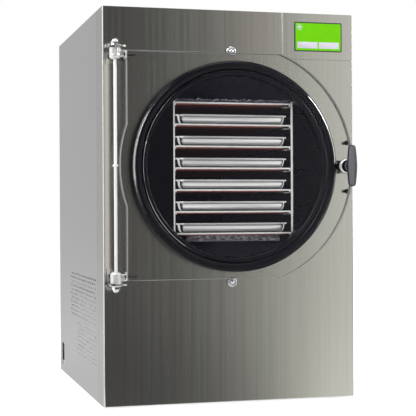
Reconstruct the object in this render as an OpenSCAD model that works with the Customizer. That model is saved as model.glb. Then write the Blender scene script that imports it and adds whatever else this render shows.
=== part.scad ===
// Freeze dryer: a brushed steel cabinet with a round vacuum chamber, a clear
// swinging door, a rack of heated shelves with six trays, and the refrigeration
// set below. Millimetres. +Z is up, the door faces -Y, and the origin is at the
// middle of the footprint, on the surface the dryer stands on.

/* [Cabinet] */
// Width of the cabinet
cabinet_w = 516; // [510:1:640]
// Depth of the cabinet, from the front panel's face to the back panel's
cabinet_d = 600; // [580:1:760]
// Height of the cabinet's top above the floor
cabinet_h = 780; // [770:1:960]
// Height of the rubber feet
foot_h = 4; // [3:0.5:7]
// Thickness of the steel sheet
sheet = 1.5; // [1:0.1:2]
// Depth of the front panel's folded sides
side_return = 64; // [40:1:80]
// Width of the seams between panels
seam = 0.8; // [0.5:0.1:0.9]

/* [Chamber] */
// Chamber axis, across from the cabinet's middle
chamber_x = 3; // [-2:0.5:8]
// Chamber axis, above the floor
chamber_z = 470; // [468:1:480]
// Inner radius of the vacuum chamber
drum_r = 182; // [151:1:184]
// Wall of the vacuum chamber
drum_wall = 3; // [2:0.5:4]
// Thickness of the chamber's back plate
drum_back = 6; // [4:1:10]
// How far the chamber's lip stands ahead of the front panel
lip_out = 18; // [12:1:20]
// Space left between the chamber and the back panel
rear_space = 70; // [60:1:120]
// Radius of the evaporator's copper tube
coil_tube_r = 4.75; // [3:0.25:5]
// Thickness of the foam jacket outside the evaporator
jacket_t = 30; // [20:1:32]

/* [Door] */
// How far the clear door's round edge reaches past the gasket
door_rim = 30.5; // [29:0.5:33]
// How much the door's round is cut flat at its top and bottom
door_trim = 16; // [10:0.5:30]
// Thickness of the clear door
door_t = 24; // [18:1:30]
// Length of the door gasket, from the front panel to the door
gasket_l = 25.7; // [22:0.1:34]
// Width of the gasket's ring
gasket_w = 27; // [22:1:30]
// Diameter of the hinge rod
rod_d = 6.4; // [5:0.1:9]
// Radius of the hinge knuckles on the door
knuckle_r = 11; // [9:0.5:12]
// Height of the hinge knuckles
knuckle_h = 22; // [16:1:30]
// Length of the T-shaped latch handle
handle_l = 82; // [60:1:110]
// Diameter of the latch shaft
latch_d = 12; // [8:0.5:13]

/* [Rack] */
// Width of the rack over its side plates
rack_w = 246; // [205:1:250]
// Thickness of the rack's side plates
rack_sheet = 1.5; // [1:0.1:3]
// Thickness of a shelf
shelf_t = 3; // [1.5:0.1:4]
// Thickness of a heater mat
heater_t = 2; // [1:0.1:3]
// Height of a tray
tray_h = 19; // [12:1:32]
// Wall of a tray
tray_wall = 0.8; // [0.6:0.1:2]
// Width of a tray's rim
tray_rim = 7; // [4:0.5:9]

/* [Control panel] */
// Width of the control panel
control_w = 150.5; // [130:0.5:170]
// Height of the control panel
control_h = 93.5; // [80:0.5:100]
// Width of the display's bezel
bezel_w = 101; // [80:1:110]
// Height of the display's bezel
bezel_h = 59; // [40:1:62]

/* [Machinery] */
// Radius of the compressor's shell
compressor_r = 84; // [60:1:92]
// Height of the compressor's shell
compressor_h = 178; // [120:1:190]
// Radius of the condenser fan
fan_r = 78; // [60:1:84]
// Outer diameter of the vacuum port
port_d = 25; // [22:0.5:40]
// Bore of the vacuum port
port_bore = 19; // [10:0.5:20]
// How far the vacuum port stands out of the back
port_out = 40; // [25:1:60]

/* [Hidden] */
$fn = 96;

// Overlap that lets one cut run past the face it opens
cut = 1;
// Gap left where two separate pieces lie against each other on a curve
seat = 0.3;
// Radial play of a pin that turns in its bore
pin_play = 0.05;
// Clearance around a screw or a fitting in its hole
hole_play = 0.5;
// Radial play of a screw in the hole it passes through
screw_play = 0.2;
// Gap between the chamber and the edge of its hole in the front panel
panel_gap = 1.5;

// Handle and hinge reach, ahead of the front panel's face
door_back = gasket_l + seat;
door_front = door_back + door_t;
hub_l = 24;
bar_t = 18;
handle_out = door_front + seat + hub_l + bar_t;

// The front panel's face lies at -Y; the whole depth is centred on the origin
front_y = (handle_out - cabinet_d - port_out) / 2;
half_w = cabinet_w / 2;
inner_w = half_w - sheet;
pan_rim = 26;
top_rim = 14;
foot_r = 18;
foot_inset = 40;
panel_lip = 8;

// Chamber
drum_out = drum_r + drum_wall;
drum_end = cabinet_d - rear_space;
flange_w = 12;
flange_t = 4;
coil_steps = 24;
coil_r = (drum_out + coil_tube_r + seat) / cos(180 / coil_steps);
jacket_in = coil_r + coil_tube_r + seat;
jacket_out = jacket_in + jacket_t;
jacket_end = 24;
coil_turns = 10;
coil_start = 84;
coil_rear = 30;
coil_pitch = (drum_end - drum_back - coil_start - coil_rear) / coil_turns;
drain_y = 60;
drain_r = 6;
port_x = chamber_x + 70;
port_z = chamber_z + 60;

// Gasket
gasket_in = drum_r - 4;
gasket_out = gasket_in + gasket_w;
gasket_round = 9;

// Door and hinge
door_r = gasket_out + door_rim;
door_flat = door_r - door_trim;
rod_r = rod_d / 2;
edge_gap = 7.5;
hinge_x = chamber_x - door_r - edge_gap;
hinge_y = -(door_back + door_t / 2);
edge_pad = 3;
door_left = hinge_x + knuckle_r + 10;
edge_screw_r = 2;
edge_screw_l = 18;
edge_screw_y = door_t / 2 - 5;
edge_screw_z = door_flat - 8;
ear_t = 3;
ear_gap = 6;
ear_z = door_flat + ear_gap;
ear_w = 32;
ear_x = hinge_x + 4;
ear_front = hinge_y - knuckle_r - 3;
mount_h = 28;
mount_screw_r = 2.5;
mount_screw_x = 8;
cap_h = 14;
rod_end = ear_z + ear_t + cap_h - 4;
collar_r = 5.5;
collar_h = 4;

// Latch
hub_r = 14.5;
latch_x = chamber_x + door_r - hub_r - 1;
latch_r = latch_d / 2;
shaft_grip = 8;
shaft_tip = 16;
cross_pin_r = 2.5;
cross_pin_half = 11;
latch_gap = 2;
receiver_r = 18;
receiver_rim = 3;
receiver_wall = 2;
receiver_d = 26;
jacket_start = sheet + receiver_d + 2;

// Rack, shelves and trays
rack_half = rack_w / 2;
rack_front = 1;
rack_back = drum_end - drum_back - 6;
rack_fold = 4;
rack_depth = rack_back - rack_front;
rack_rise = sqrt(pow(drum_r, 2) - pow(rack_half, 2)) - seat;
rack_bottom = chamber_z - rack_rise;
rack_top = chamber_z + rack_rise;
shelf_count = 7;
shelf_low_gap = 0.35;
shelf_top_room = 9.95;
shelf_first = rack_bottom + shelf_low_gap;
shelf_pitch = (2 * rack_rise - shelf_low_gap - shelf_top_room) / (shelf_count - 1);
shelf_w = rack_w - 2 * rack_sheet;
shelf_fold = 8;
heater_left = 4;
heater_right = 18;
lead_r = 1.4;
tray_side_gap = 6.5;
tray_w = shelf_w - 2 * tray_side_gap;
tray_front = rack_front + 3;
tray_depth = rack_depth - 8;
tray_taper = 5;
tray_corner = 18;
foil_top = 3;
foil_low = 9;
foil_low_inset = 22;

// Control panel and display
control_x = half_w - control_w;
control_z = cabinet_h - control_h;
bezel_x = half_w - control_w / 2 + 1.3;
bezel_z = control_z + control_h / 2 - 0.2;
bezel_rim = 2;
bezel_t = 1;
screen_t = 0.7;
board_y = 6;

// Machinery compartment below the chamber
floor_z = foot_h + sheet;
deck_z = chamber_z - jacket_out - 10;
deck_t = 2;
fan_y = 240;
fan_z = 128;
condenser_x = -inner_w + 8;
condenser_t = 44;
condenser_d = 300;
condenser_h = 168;
condenser_low = floor_z + 24;
condenser_top = condenser_low + condenser_h;
line_z = condenser_top + 10;
shroud_x = condenser_x + condenser_t;
shroud_ring = 26;
motor_x = shroud_x + 34;
motor_l = 44;
shaft_r = 4;
compressor_x = 120;
compressor_y = 400;

// Drain hose, down from the chamber and out at the lower left
drain_z = deck_z - 12;
drain_exit_y = cabinet_d - 48;
drain_exit_z = 47;
drain_window = [32, 50];

// Short round-ended vents: each field is [y from, y to, z from, z to]
vent_w = 16;
vent_h = 4;
vent_pitch_y = 24;
vent_pitch_z = 9;
left_vents = [[88, 436, 150, 250], [88, 340, 70, 142]];
right_vents = [[300, 516, 70, 142]];

// Fittings on the back
inlet_x = 170;
inlet_z = 90;
switch_x = 120;
switch_z = 90;
switch_w = 22;
switch_h = 30;
switch_wall = 2;
rocker_pin_r = 1.5;
rocker_y = cabinet_d - 4;
rocker_tilt = 8;

// Copper lines reach the coil where a turn passes its lowest point
line_r = 4;
coil_in_y = coil_start + 0.75 * coil_pitch;
coil_out_y = coil_start + (coil_turns - 0.25) * coil_pitch;

function arc(c, r, a0, a1, n) =
    [for (i = [0:n]) c + r * [cos(a0 + (a1 - a0) * i / n), sin(a0 + (a1 - a0) * i / n)]];

// Places its children in the frame of the front panel: Y = 0 is the panel's face
module at_front() {
    translate([0, front_y, 0]) children();
}

// A cylinder along +Y that starts at y
module y_rod(r, y, length) {
    translate([0, y, 0]) rotate([-90, 0, 0]) cylinder(r = r, h = length);
}

// A cylinder along +X that starts at x
module x_rod(r, x, length) {
    translate([x, 0, 0]) rotate([0, 90, 0]) cylinder(r = r, h = length);
}

// A solid of revolution about the Y axis, from points [radius, y]
module turned_y(points) {
    rotate([-90, 0, 0]) rotate_extrude() polygon(points);
}

// A rectangle with round corners, centred on the origin
module round_rect(w, h, r) {
    square([w - 2 * r, h], center = true);
    square([w, h - 2 * r], center = true);
    for (x = [-1, 1], y = [-1, 1])
        translate([x * (w / 2 - r), y * (h / 2 - r)]) circle(r = r, $fn = 32);
}

// A box from one corner to the opposite one
module block(low, high) {
    translate(low) cube(high - low);
}

// A plate across Y from a flat outline drawn in X and Z
module y_plate(y, t) {
    translate([0, y + t, 0]) rotate([90, 0, 0]) linear_extrude(t) children();
}

// Places its children on the chamber's axis
module at_chamber() {
    translate([chamber_x, 0, chamber_z]) children();
}

// ---------------------------------------------------------------- cabinet

module base_pan() {
    color("silver") at_front() difference() {
        block([-inner_w, sheet, foot_h], [inner_w, cabinet_d - sheet, foot_h + pan_rim]);
        block([-inner_w + sheet, 2 * sheet, floor_z],
              [inner_w - sheet, cabinet_d - 2 * sheet, foot_h + pan_rim + cut]);
    }
}

// The control panel's corner is left out; a lip behind the seams carries that panel
module front_panel() {
    lip_x = control_x + panel_lip;
    lip_z = control_z + panel_lip;
    color("gray") at_front() difference() {
        union() {
            block([-half_w, 0, foot_h], [half_w, sheet, cabinet_h]);
            for (x = [-half_w, inner_w])
                block([x, 0, foot_h], [x + sheet, side_return, cabinet_h]);
            block([control_x - panel_lip, 0, control_z - panel_lip],
                  [inner_w, 2 * sheet, cabinet_h - 2 * sheet]);
        }
        block([control_x, -cut, control_z], [half_w + cut, sheet, cabinet_h + cut]);
        block([inner_w, -cut, control_z], [half_w + cut, side_return + cut, cabinet_h + cut]);
        block([lip_x, -cut, lip_z], [half_w, 3 * sheet, cabinet_h + cut]);
        at_chamber() y_rod(drum_out + panel_gap, -cut, 4 * sheet);
        translate([latch_x, 0, chamber_z]) y_rod(receiver_r - receiver_wall, -cut, 4 * sheet);
        at_mount_screws() y_rod(mount_screw_r + screw_play, -cut, 4 * sheet, $fn = 24);
    }
}

module control_panel() {
    window = [bezel_w - 4 * bezel_rim, bezel_h - 4 * bezel_rim];
    color("lightgray") at_front() difference() {
        union() {
            block([control_x + seam, 0, control_z + seam], [half_w, sheet, cabinet_h]);
            block([inner_w, 0, control_z + seam], [half_w, side_return, cabinet_h]);
        }
        translate([bezel_x, 0, bezel_z]) y_plate(-cut, sheet + 2 * cut)
            square(window, center = true);
    }
}

// Staggered rows of short round-ended slots, drawn in Y and Z
module vent_field(field) {
    rows = floor((field[3] - field[2]) / vent_pitch_z);
    columns = floor((field[1] - field[0]) / vent_pitch_y);
    for (row = [0:rows - 1], column = [0:columns - 1])
        translate([field[0] + vent_pitch_y * (column + 0.25 + 0.5 * (row % 2)),
                   field[2] + vent_pitch_z * (row + 0.5)]) {
            square([vent_w - vent_h, vent_h], center = true);
            for (s = [-1, 1])
                translate([s * (vent_w - vent_h) / 2, 0]) circle(d = vent_h, $fn = 16);
        }
}

// A side sheet whose inner or outer face starts at x; its children are cut out
module side_sheet(x) {
    front = side_return + seam;
    translate([x, 0, 0]) rotate([90, 0, 90]) linear_extrude(sheet) difference() {
        translate([front, foot_h]) square([cabinet_d - front, cabinet_h - foot_h]);
        children();
    }
}

module left_side_panel() {
    color("darkgray") at_front() side_sheet(-half_w) {
        for (field = left_vents) vent_field(field);
        translate([drain_exit_y, drain_exit_z]) round_rect(drain_window[0], drain_window[1], 6);
    }
}

module right_side_panel() {
    color("darkgray") at_front() side_sheet(inner_w)
        for (field = right_vents) vent_field(field);
}

module top_panel() {
    low = cabinet_h - top_rim;
    color("silver") at_front() difference() {
        block([-inner_w, sheet, low], [inner_w, cabinet_d - sheet, cabinet_h]);
        block([-inner_w + sheet, 2 * sheet, low - cut],
              [inner_w - sheet, cabinet_d - 2 * sheet, cabinet_h - sheet]);
        block([control_x - panel_lip - cut, 0, low - cut],
              [inner_w + cut, 2 * sheet, cabinet_h - sheet]);
    }
}

module back_panel() {
    outlet = [20, 5];
    outlet_pitch = [30, 14];
    inlet_hole = [28, 20];
    front = cabinet_d - sheet;
    color("silver") at_front() difference() {
        block([-inner_w, front, foot_h], [inner_w, cabinet_d, cabinet_h]);
        translate([port_x, 0, port_z]) y_rod(port_d / 2 + hole_play, front - cut, 3 * sheet);
        translate([inlet_x, 0, inlet_z]) y_plate(front - cut, 3 * sheet)
            square(inlet_hole, center = true);
        translate([switch_x, 0, switch_z]) y_plate(front - cut, 3 * sheet)
            square([switch_w - 2 * switch_wall, switch_h - 2 * switch_wall], center = true);
        for (row = [0:5], column = [0:6])
            translate([outlet_pitch[0] * column - 190, 0, outlet_pitch[1] * row + 90])
                y_plate(front - cut, 3 * sheet) round_rect(outlet[0], outlet[1], 2.4);
    }
}

module rubber_feet() {
    color("dimgray") at_front()
        for (x = [-1, 1], y = [foot_inset, cabinet_d - foot_inset])
            translate([x * (half_w - foot_inset), y, 0])
                cylinder(r1 = foot_r - 2, r2 = foot_r, h = foot_h);
}

module panel_screws() {
    r = 4.5;
    rows = 5;
    end = 60;
    color("silver") at_front()
        for (s = [-1, 1], i = [0:rows - 1])
            translate([s * (inner_w - 8), cabinet_d, end + i * (cabinet_h - 2 * end) / (rows - 1)])
                turned_y([[0, 0], [r, 0], [r - 1, 2.2], [r - 3.3, 2.6], [0, 2.6]]);
}

// Domed screws above and below the door
module chamber_screws() {
    r = 10;
    rim = 1.6;
    dome = 6;
    color("silver") at_front()
        for (s = [-1, 1])
            translate([0, 0, chamber_z + s * (door_flat + r - 1)])
                turned_y(concat([[0, 0], [r, 0]], arc([r - dome, -rim], dome, 0, -90, 6),
                                [[0, -rim - dome]]));
}

// ------------------------------------------------------- display and control

module display_bezel() {
    color("black") at_front() translate([bezel_x, 0, bezel_z]) y_plate(-bezel_t, bezel_t)
        difference() {
            round_rect(bezel_w, bezel_h, 2);
            square([bezel_w - 2 * bezel_rim, bezel_h - 2 * bezel_rim], center = true);
        }
}

module touch_screen() {
    screen_w = bezel_w - 2 * bezel_rim;
    screen_h = bezel_h - 2 * bezel_rim;
    cut_w = bezel_w - 4 * bezel_rim;
    cut_h = bezel_h - 4 * bezel_rim;
    color("limegreen") at_front() translate([bezel_x, 0, bezel_z]) {
        y_plate(-screen_t, screen_t) square([screen_w, screen_h], center = true);
        y_plate(0, board_y) square([cut_w, cut_h], center = true);
    }
}

module control_board() {
    board_t = 1.6;
    chip = [18, 5.4, 20];
    color("darkgreen") at_front() translate([bezel_x, 0, bezel_z]) {
        y_plate(board_y, board_t) round_rect(bezel_w + 10, bezel_h + 12, 3);
        for (x = [-1, 1], z = [-1, 1])
            translate([x * (bezel_w / 2 + 1), 0, z * (bezel_h / 2 + 2)])
                y_rod(2.5, sheet, board_y - sheet, $fn = 24);
        for (x = [-30, 0, 30])
            translate([x - chip[0] / 2, board_y + board_t, -chip[2] / 2]) cube(chip);
    }
}

// ------------------------------------------------------------------ chamber

module vacuum_chamber() {
    color("silver") at_front() at_chamber() difference() {
        turned_y([[drum_r, -lip_out], [drum_out, -lip_out], [drum_out, sheet],
                  [drum_out + flange_w, sheet], [drum_out + flange_w, sheet + flange_t],
                  [drum_out, sheet + flange_t], [drum_out, drum_end], [0, drum_end],
                  [0, drum_end - drum_back], [drum_r, drum_end - drum_back]]);
        translate([port_x - chamber_x, 0, port_z - chamber_z])
            y_rod(port_d / 2, drum_end - drum_back - cut, drum_back + 2 * cut);
        translate([0, drain_y, -drum_out - 2]) cylinder(r = drain_r, h = 3 * drum_wall);
    }
}

// Points of one turn of tube after another along a helix about the Y axis
function helix_rings(turns, steps, sides, y0, pitch) = [
    for (i = [0:turns * steps], j = [0:sides - 1])
        let (a = 360 * i / steps, b = 360 * j / sides,
             r = coil_r + coil_tube_r * cos(b))
            [r * cos(a), y0 + pitch * i / steps + coil_tube_r * sin(b), r * sin(a)]
];

module tube_mesh(points, sides) {
    rings = len(points) / sides;
    last = (rings - 1) * sides;
    polyhedron(points, concat(
        [[for (j = [0:sides - 1]) j]],
        [for (i = [0:rings - 2], j = [0:sides - 1])
            let (k = (j + 1) % sides)
                [i * sides + j, (i + 1) * sides + j, (i + 1) * sides + k, i * sides + k]],
        [[for (j = [sides - 1:-1:0]) last + j]]));
}

module evaporator_coil() {
    sides = 6;
    color("peru") at_front() at_chamber()
        tube_mesh(helix_rings(coil_turns, coil_steps, sides, coil_start, coil_pitch), sides);
}

module insulation_jacket() {
    color("khaki") at_front() at_chamber() difference() {
        turned_y([[jacket_in, jacket_start], [jacket_out, jacket_start],
                  [jacket_out, drum_end + jacket_end], [0, drum_end + jacket_end], [0, drum_end],
                  [jacket_in, drum_end]]);
        translate([port_x - chamber_x, 0, port_z - chamber_z])
            y_rod(port_d / 2 + hole_play, drum_end - cut, jacket_end + 2 * cut);
        translate([0, drain_y, -jacket_out - 2])
            cylinder(r = drain_r + 2, h = 2 * jacket_t);
        for (y = [coil_in_y, coil_out_y])
            translate([0, y, -jacket_out - 2]) cylinder(r = line_r + 2, h = 2 * jacket_t);
    }
}

module door_gasket() {
    front = -gasket_l;
    back = -seat;
    inner_round = 6;
    slot_in = drum_r - seat;
    slot_out = drum_out + seat;
    slot_top = -lip_out - seat;
    color("black") at_front() at_chamber() turned_y(concat(
        [[slot_in, back], [gasket_in, back]],
        arc([gasket_in + inner_round, front + inner_round], inner_round, 180, 270, 8),
        arc([gasket_out - gasket_round, front + gasket_round], gasket_round, 270, 360, 8),
        [[gasket_out, back], [slot_out, back], [slot_out, slot_top], [slot_in, slot_top]]));
}

// A deck on two folded side plates, with two saddles under the jacket
module chamber_cradle() {
    foot = 20;
    front = 20;
    side = inner_w - sheet - 1;
    deck_back = cabinet_d - 40;
    saddle = [300, 8, 70];
    window_top = 220;
    bay = condenser_d / 2 + 3;
    color("slategray") at_front() difference() {
        union() {
            block([-side, front, deck_z - deck_t], [side, deck_back, deck_z]);
            for (s = [-1, 1]) {
                block([s > 0 ? side - deck_t : -side, front, floor_z],
                      [s > 0 ? side : -side + deck_t, deck_back, deck_z]);
                block([s > 0 ? side - foot : -side, front, floor_z],
                      [s > 0 ? side : -side + foot, deck_back, floor_z + deck_t]);
            }
            for (y = [100, drum_end - 90])
                translate([chamber_x - saddle[0] / 2, y, deck_z]) cube(saddle);
        }
        at_chamber() y_rod(jacket_out + seat, 0, cabinet_d);
        // the vents of the left side open straight into the condenser
        block([-side - cut, fan_y - bay, floor_z - cut],
              [-side + foot + cut, fan_y + bay, window_top]);
        block([-side - cut, drain_exit_y - 28, floor_z + deck_t],
              [-side + foot + cut, cabinet_d, drain_exit_z + 33]);
        translate([chamber_x, drain_y, deck_z - 10]) cylinder(r = drain_r + 3, h = 20);
        for (y = [coil_in_y, coil_out_y])
            translate([chamber_x, y, deck_z - 10]) cylinder(r = line_r + 3, h = 2 * saddle[2]);
    }
}

// --------------------------------------------------------- rack and shelves

// The two leads of each heater mat lie just below it
lead_ys = [rack_front + 14, rack_front + 24];
function shelf_z(i) = shelf_first + (i - 1) * shelf_pitch;
function lead_z(i) = shelf_z(i) - heater_t - lead_r;

// Holes for the leads in the right side plate and in the fold of shelf i
module lead_holes(i) {
    for (y = lead_ys)
        translate([0, y, lead_z(i)])
            x_rod(lead_r + 0.4, rack_half - 3 * rack_sheet, 4 * rack_sheet, $fn = 24);
}

module rack_side(s) {
    plate_x = s > 0 ? rack_half - rack_sheet : -rack_half;
    fold_x = s > 0 ? rack_half - rack_fold : -rack_half;
    color("silver") at_front() translate([chamber_x, 0, 0]) difference() {
        union() {
            block([plate_x, rack_front, rack_bottom], [plate_x + rack_sheet, rack_back, rack_top]);
            for (y = [rack_front, rack_back - rack_sheet])
                block([fold_x, y, rack_bottom + rack_fold],
                      [fold_x + rack_fold, y + rack_sheet, rack_top - rack_fold]);
        }
        if (s > 0)
            for (i = [2:shelf_count]) lead_holes(i);
    }
}

// Shelves count from the bottom; their ends fold down and are welded to the side plates
module shelf(i) {
    half = shelf_w / 2;
    fold_t = 1.2;
    low = max(shelf_z(i) - shelf_fold, rack_bottom);
    front = rack_front + rack_sheet;
    back = rack_back - rack_sheet;
    color("gainsboro") at_front() translate([chamber_x, 0, 0]) difference() {
        union() {
            block([-half, front, shelf_z(i)], [half, back, shelf_z(i) + shelf_t]);
            for (x = [-half, half - fold_t])
                block([x, front, low], [x + fold_t, back, shelf_z(i)]);
        }
        if (i > 1) lead_holes(i);
    }
}

module heater_mats() {
    half = shelf_w / 2;
    color("saddlebrown") at_front() translate([chamber_x, 0, 0])
        for (i = [1:shelf_count])
            block([-half + heater_left, rack_front + 3, shelf_z(i) - heater_t],
                  [half - heater_right, rack_back - 20, shelf_z(i)]);
}

// Two trunks of leads on the right side plate, with a lead to each heater mat
module heater_leads() {
    trunk_r = 2.6;
    trunk_x = rack_half + trunk_r + seat;
    start_x = shelf_w / 2 - heater_right - 6;
    low = lead_z(2) - 4;
    color("ivory") at_front() translate([chamber_x, 0, 0])
        for (y = lead_ys) {
            translate([trunk_x, y, low])
                cylinder(r = trunk_r, h = lead_z(shelf_count) + lead_r - low, $fn = 32);
            for (i = [2:shelf_count])
                translate([0, y, lead_z(i)])
                    x_rod(lead_r, start_x, trunk_x - start_x, $fn = 24);
        }
}

// A pressed tray with sloping walls, round corners and a flat rim
module tray(i) {
    rim_w = tray_w;
    top_w = rim_w - 2 * tray_rim;
    top_d = tray_depth - 2 * tray_rim;
    low_w = top_w - 2 * tray_taper;
    low_d = top_d - 2 * tray_taper;
    color("whitesmoke") at_front()
        translate([chamber_x, tray_front + tray_depth / 2, shelf_z(i) + shelf_t]) difference() {
            union() {
                hull() {
                    linear_extrude(0.1) round_rect(low_w, low_d, tray_corner - tray_taper);
                    translate([0, 0, tray_h - 0.2])
                        linear_extrude(0.2) round_rect(top_w, top_d, tray_corner);
                }
                translate([0, 0, tray_h - 2])
                    linear_extrude(2) round_rect(rim_w, tray_depth, tray_corner + tray_rim);
            }
            hull() {
                translate([0, 0, tray_wall]) linear_extrude(0.1)
                    round_rect(low_w - 2 * tray_wall, low_d - 2 * tray_wall,
                               tray_corner - tray_taper - tray_wall);
                translate([0, 0, tray_h]) linear_extrude(0.2)
                    round_rect(top_w - 2 * tray_wall, top_d - 2 * tray_wall,
                               tray_corner - tray_wall);
            }
        }
}

// Reflective blankets above the top shelf and below the bottom one
module foil_blankets() {
    top = shelf_z(shelf_count) + shelf_t;
    low = shelf_z(1) - heater_t;
    half_top = shelf_w / 2 - 2;
    half_low = rack_half - foil_low_inset;
    front = rack_front + 4;
    back = rack_back - 10;
    color("silver") at_front() translate([chamber_x, 0, 0]) {
        block([-half_top, front, top], [half_top, back, top + foil_top]);
        block([-half_low, front, low - foil_low], [half_low, back, low]);
    }
}

// --------------------------------------------------------------------- door

module door_outline() {
    left = door_left - chamber_x;
    intersection() {
        circle(r = door_r, $fn = 180);
        square([3 * door_r, 2 * door_flat], center = true);
    }
    translate([left, -door_flat]) square([-left, 2 * door_flat]);
}

module door_plate() {
    color("azure", 0.3) at_front() difference() {
        at_chamber() y_plate(-door_front, door_t) door_outline();
        translate([latch_x, 0, chamber_z])
            y_rod(latch_r + pin_play, -door_front - cut, door_t + 2 * cut);
        at_hinge_screws()
            x_rod(edge_screw_r + screw_play, -cut, edge_screw_l + cut + screw_play, $fn = 24);
    }
}

// Places its children at the screws of the hinge mounts, on the front panel's face
module at_mount_screws() {
    for (s = [-1, 1], x = [-1, 1])
        translate([ear_x + x * mount_screw_x, 0, chamber_z + s * (ear_z - mount_h / 2)])
            children();
}

// Places its children where the knuckles' screws enter the door's left edge
module at_hinge_screws() {
    for (s = [-1, 1], y = [-1, 1])
        translate([door_left, hinge_y + y * edge_screw_y, chamber_z + s * edge_screw_z])
            children();
}

// Two ears on the front panel hold the ends of the rod
module hinge_mounts() {
    round_r = 8;
    half = ear_w / 2;
    color("silver") at_front()
        for (s = [-1, 1]) {
            low = chamber_z + min(s * ear_z, s * (ear_z + ear_t));
            foot_z = chamber_z + min(s * ear_z, s * (ear_z - mount_h));
            difference() {
                union() {
                    translate([ear_x, 0, low]) linear_extrude(ear_t) {
                        translate([-half, ear_front + round_r])
                            square([ear_w, -ear_front - round_r]);
                        translate([-half + round_r, ear_front])
                            square([ear_w - 2 * round_r, -ear_front]);
                        for (x = [round_r - half, half - round_r])
                            translate([x, ear_front + round_r]) circle(r = round_r, $fn = 32);
                    }
                    block([ear_x - half, -ear_t, foot_z], [ear_x + half, 0, foot_z + mount_h]);
                }
                translate([hinge_x, hinge_y, low - cut])
                    cylinder(r = rod_r + screw_play, h = ear_t + 2 * cut);
                at_mount_screws() y_rod(mount_screw_r + screw_play, -2 * ear_t, 4 * ear_t, $fn = 24);
            }
        }
}

module mount_screws() {
    r = mount_screw_r;
    head_h = 2;
    grip = 6;
    color("silver") at_front() at_mount_screws()
        turned_y([[0, -ear_t - head_h], [r, -ear_t - head_h], [r + 2, -ear_t], [r, -ear_t],
                  [r, grip], [0, grip]]);
}

// Knuckles that turn on the rod; a pad on each is screwed to the door's left edge
module hinge_knuckles() {
    near = ear_z - seat;
    far = near - knuckle_h;
    dome = 5;
    neck_half = 3.5;
    neck_inset = 4;
    pad_half = door_t / 2 - 2;
    color("silver") at_front()
        for (s = [-1, 1]) difference() {
            translate([0, 0, chamber_z]) mirror([0, 0, s > 0 ? 0 : 1]) {
                translate([hinge_x, hinge_y, near]) rotate([180, 0, 0])
                    rotate_extrude() polygon(concat(
                        [[0, 0], [knuckle_r, 0]],
                        arc([knuckle_r - dome, knuckle_h - dome], dome, 0, 90, 6),
                        [[0, knuckle_h]]));
                block([hinge_x, hinge_y - neck_half, far + neck_inset],
                      [door_left - cut, hinge_y + neck_half, near - neck_inset]);
                block([door_left - edge_pad, hinge_y - pad_half, far],
                      [door_left, hinge_y + pad_half, door_flat]);
            }
            translate([hinge_x, hinge_y, chamber_z + s * near - knuckle_h - cut])
                cylinder(r = rod_r + pin_play, h = 2 * (knuckle_h + cut));
            at_hinge_screws()
                x_rod(edge_screw_r + screw_play, -edge_pad - cut, edge_pad + 2 * cut, $fn = 24);
        }
}

module hinge_screws() {
    head_h = 2.2;
    color("silver") at_front() at_hinge_screws() {
        x_rod(edge_screw_r, -edge_pad - cut, edge_screw_l + edge_pad + cut, $fn = 24);
        x_rod(edge_screw_r + 0.8, -edge_pad - head_h, head_h, $fn = 24);
    }
}

module hinge_rod() {
    color("white") at_front() translate([hinge_x, hinge_y, chamber_z]) {
        translate([0, 0, -rod_end]) cylinder(r = rod_r, h = 2 * rod_end);
        translate([0, 0, -collar_h / 2]) cylinder(r = collar_r, h = collar_h);
    }
}

// A domed nut on a flared washer at each end of the rod
module hinge_cap_nuts() {
    base = ear_z + ear_t;
    washer_h = 2.6;
    hex_r = 8.2;
    hex_h = 5;
    dome = 6.5;
    bore = rod_r + screw_play;
    color("silver") at_front() translate([hinge_x, hinge_y, chamber_z])
        for (s = [-1, 1]) mirror([0, 0, s > 0 ? 0 : 1]) translate([0, 0, base]) {
            difference() {
                cylinder(r1 = 2 * dome, r2 = 1.5 * dome, h = washer_h);
                translate([0, 0, -cut]) cylinder(r = bore, h = washer_h + 2 * cut);
            }
            translate([0, 0, washer_h]) difference() {
                union() {
                    cylinder(r = hex_r, h = hex_h, $fn = 6);
                    rotate_extrude() polygon(concat(
                        [[0, 0], [dome + 0.5, 0]],
                        arc([0.5, cap_h - washer_h - dome], dome, 0, 90, 8),
                        [[0, cap_h - washer_h]]));
                }
                translate([0, 0, -cut]) cylinder(r = bore, h = rod_end - base - washer_h + cut + seat);
            }
        }
}

// -------------------------------------------------------------------- latch

module at_latch() {
    at_front() translate([latch_x, 0, chamber_z]) children();
}

module latch_handle() {
    hub_back = -door_front - seat;
    hub_front = hub_back - hub_l;
    rib = 1.6;
    rib_pitch = 6.6;
    mid_r = 10;
    end_r = 8;
    end_thin = 3;
    color("dimgray") at_latch() difference() {
        union() {
            turned_y(concat(
                [[0, hub_front], [hub_r - 2, hub_front]],
                [for (i = [0:2], p = [0:3])
                    [hub_r - (p == 1 || p == 2 ? 0 : rib),
                     hub_front + 3 + i * rib_pitch + p * 1.5]],
                [[hub_r - 1, hub_back], [0, hub_back]]));
            hull() {
                y_rod(mid_r, hub_front - bar_t, bar_t, $fn = 32);
                for (s = [-1, 1])
                    translate([0, 0, s * (handle_l / 2 - end_r)])
                        y_rod(end_r, hub_front - bar_t + end_thin, bar_t - 2 * end_thin, $fn = 32);
            }
        }
        y_rod(latch_r + pin_play, hub_front - shaft_grip, hub_l + shaft_grip + cut);
    }
}

module latch_shaft() {
    start = -door_front - seat - hub_l - shaft_grip;
    color("silver") at_latch() {
        y_rod(latch_r, start, shaft_tip - start);
        translate([0, shaft_tip - 5, -cross_pin_half])
            cylinder(r = cross_pin_r, h = 2 * cross_pin_half, $fn = 32);
    }
}

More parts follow.
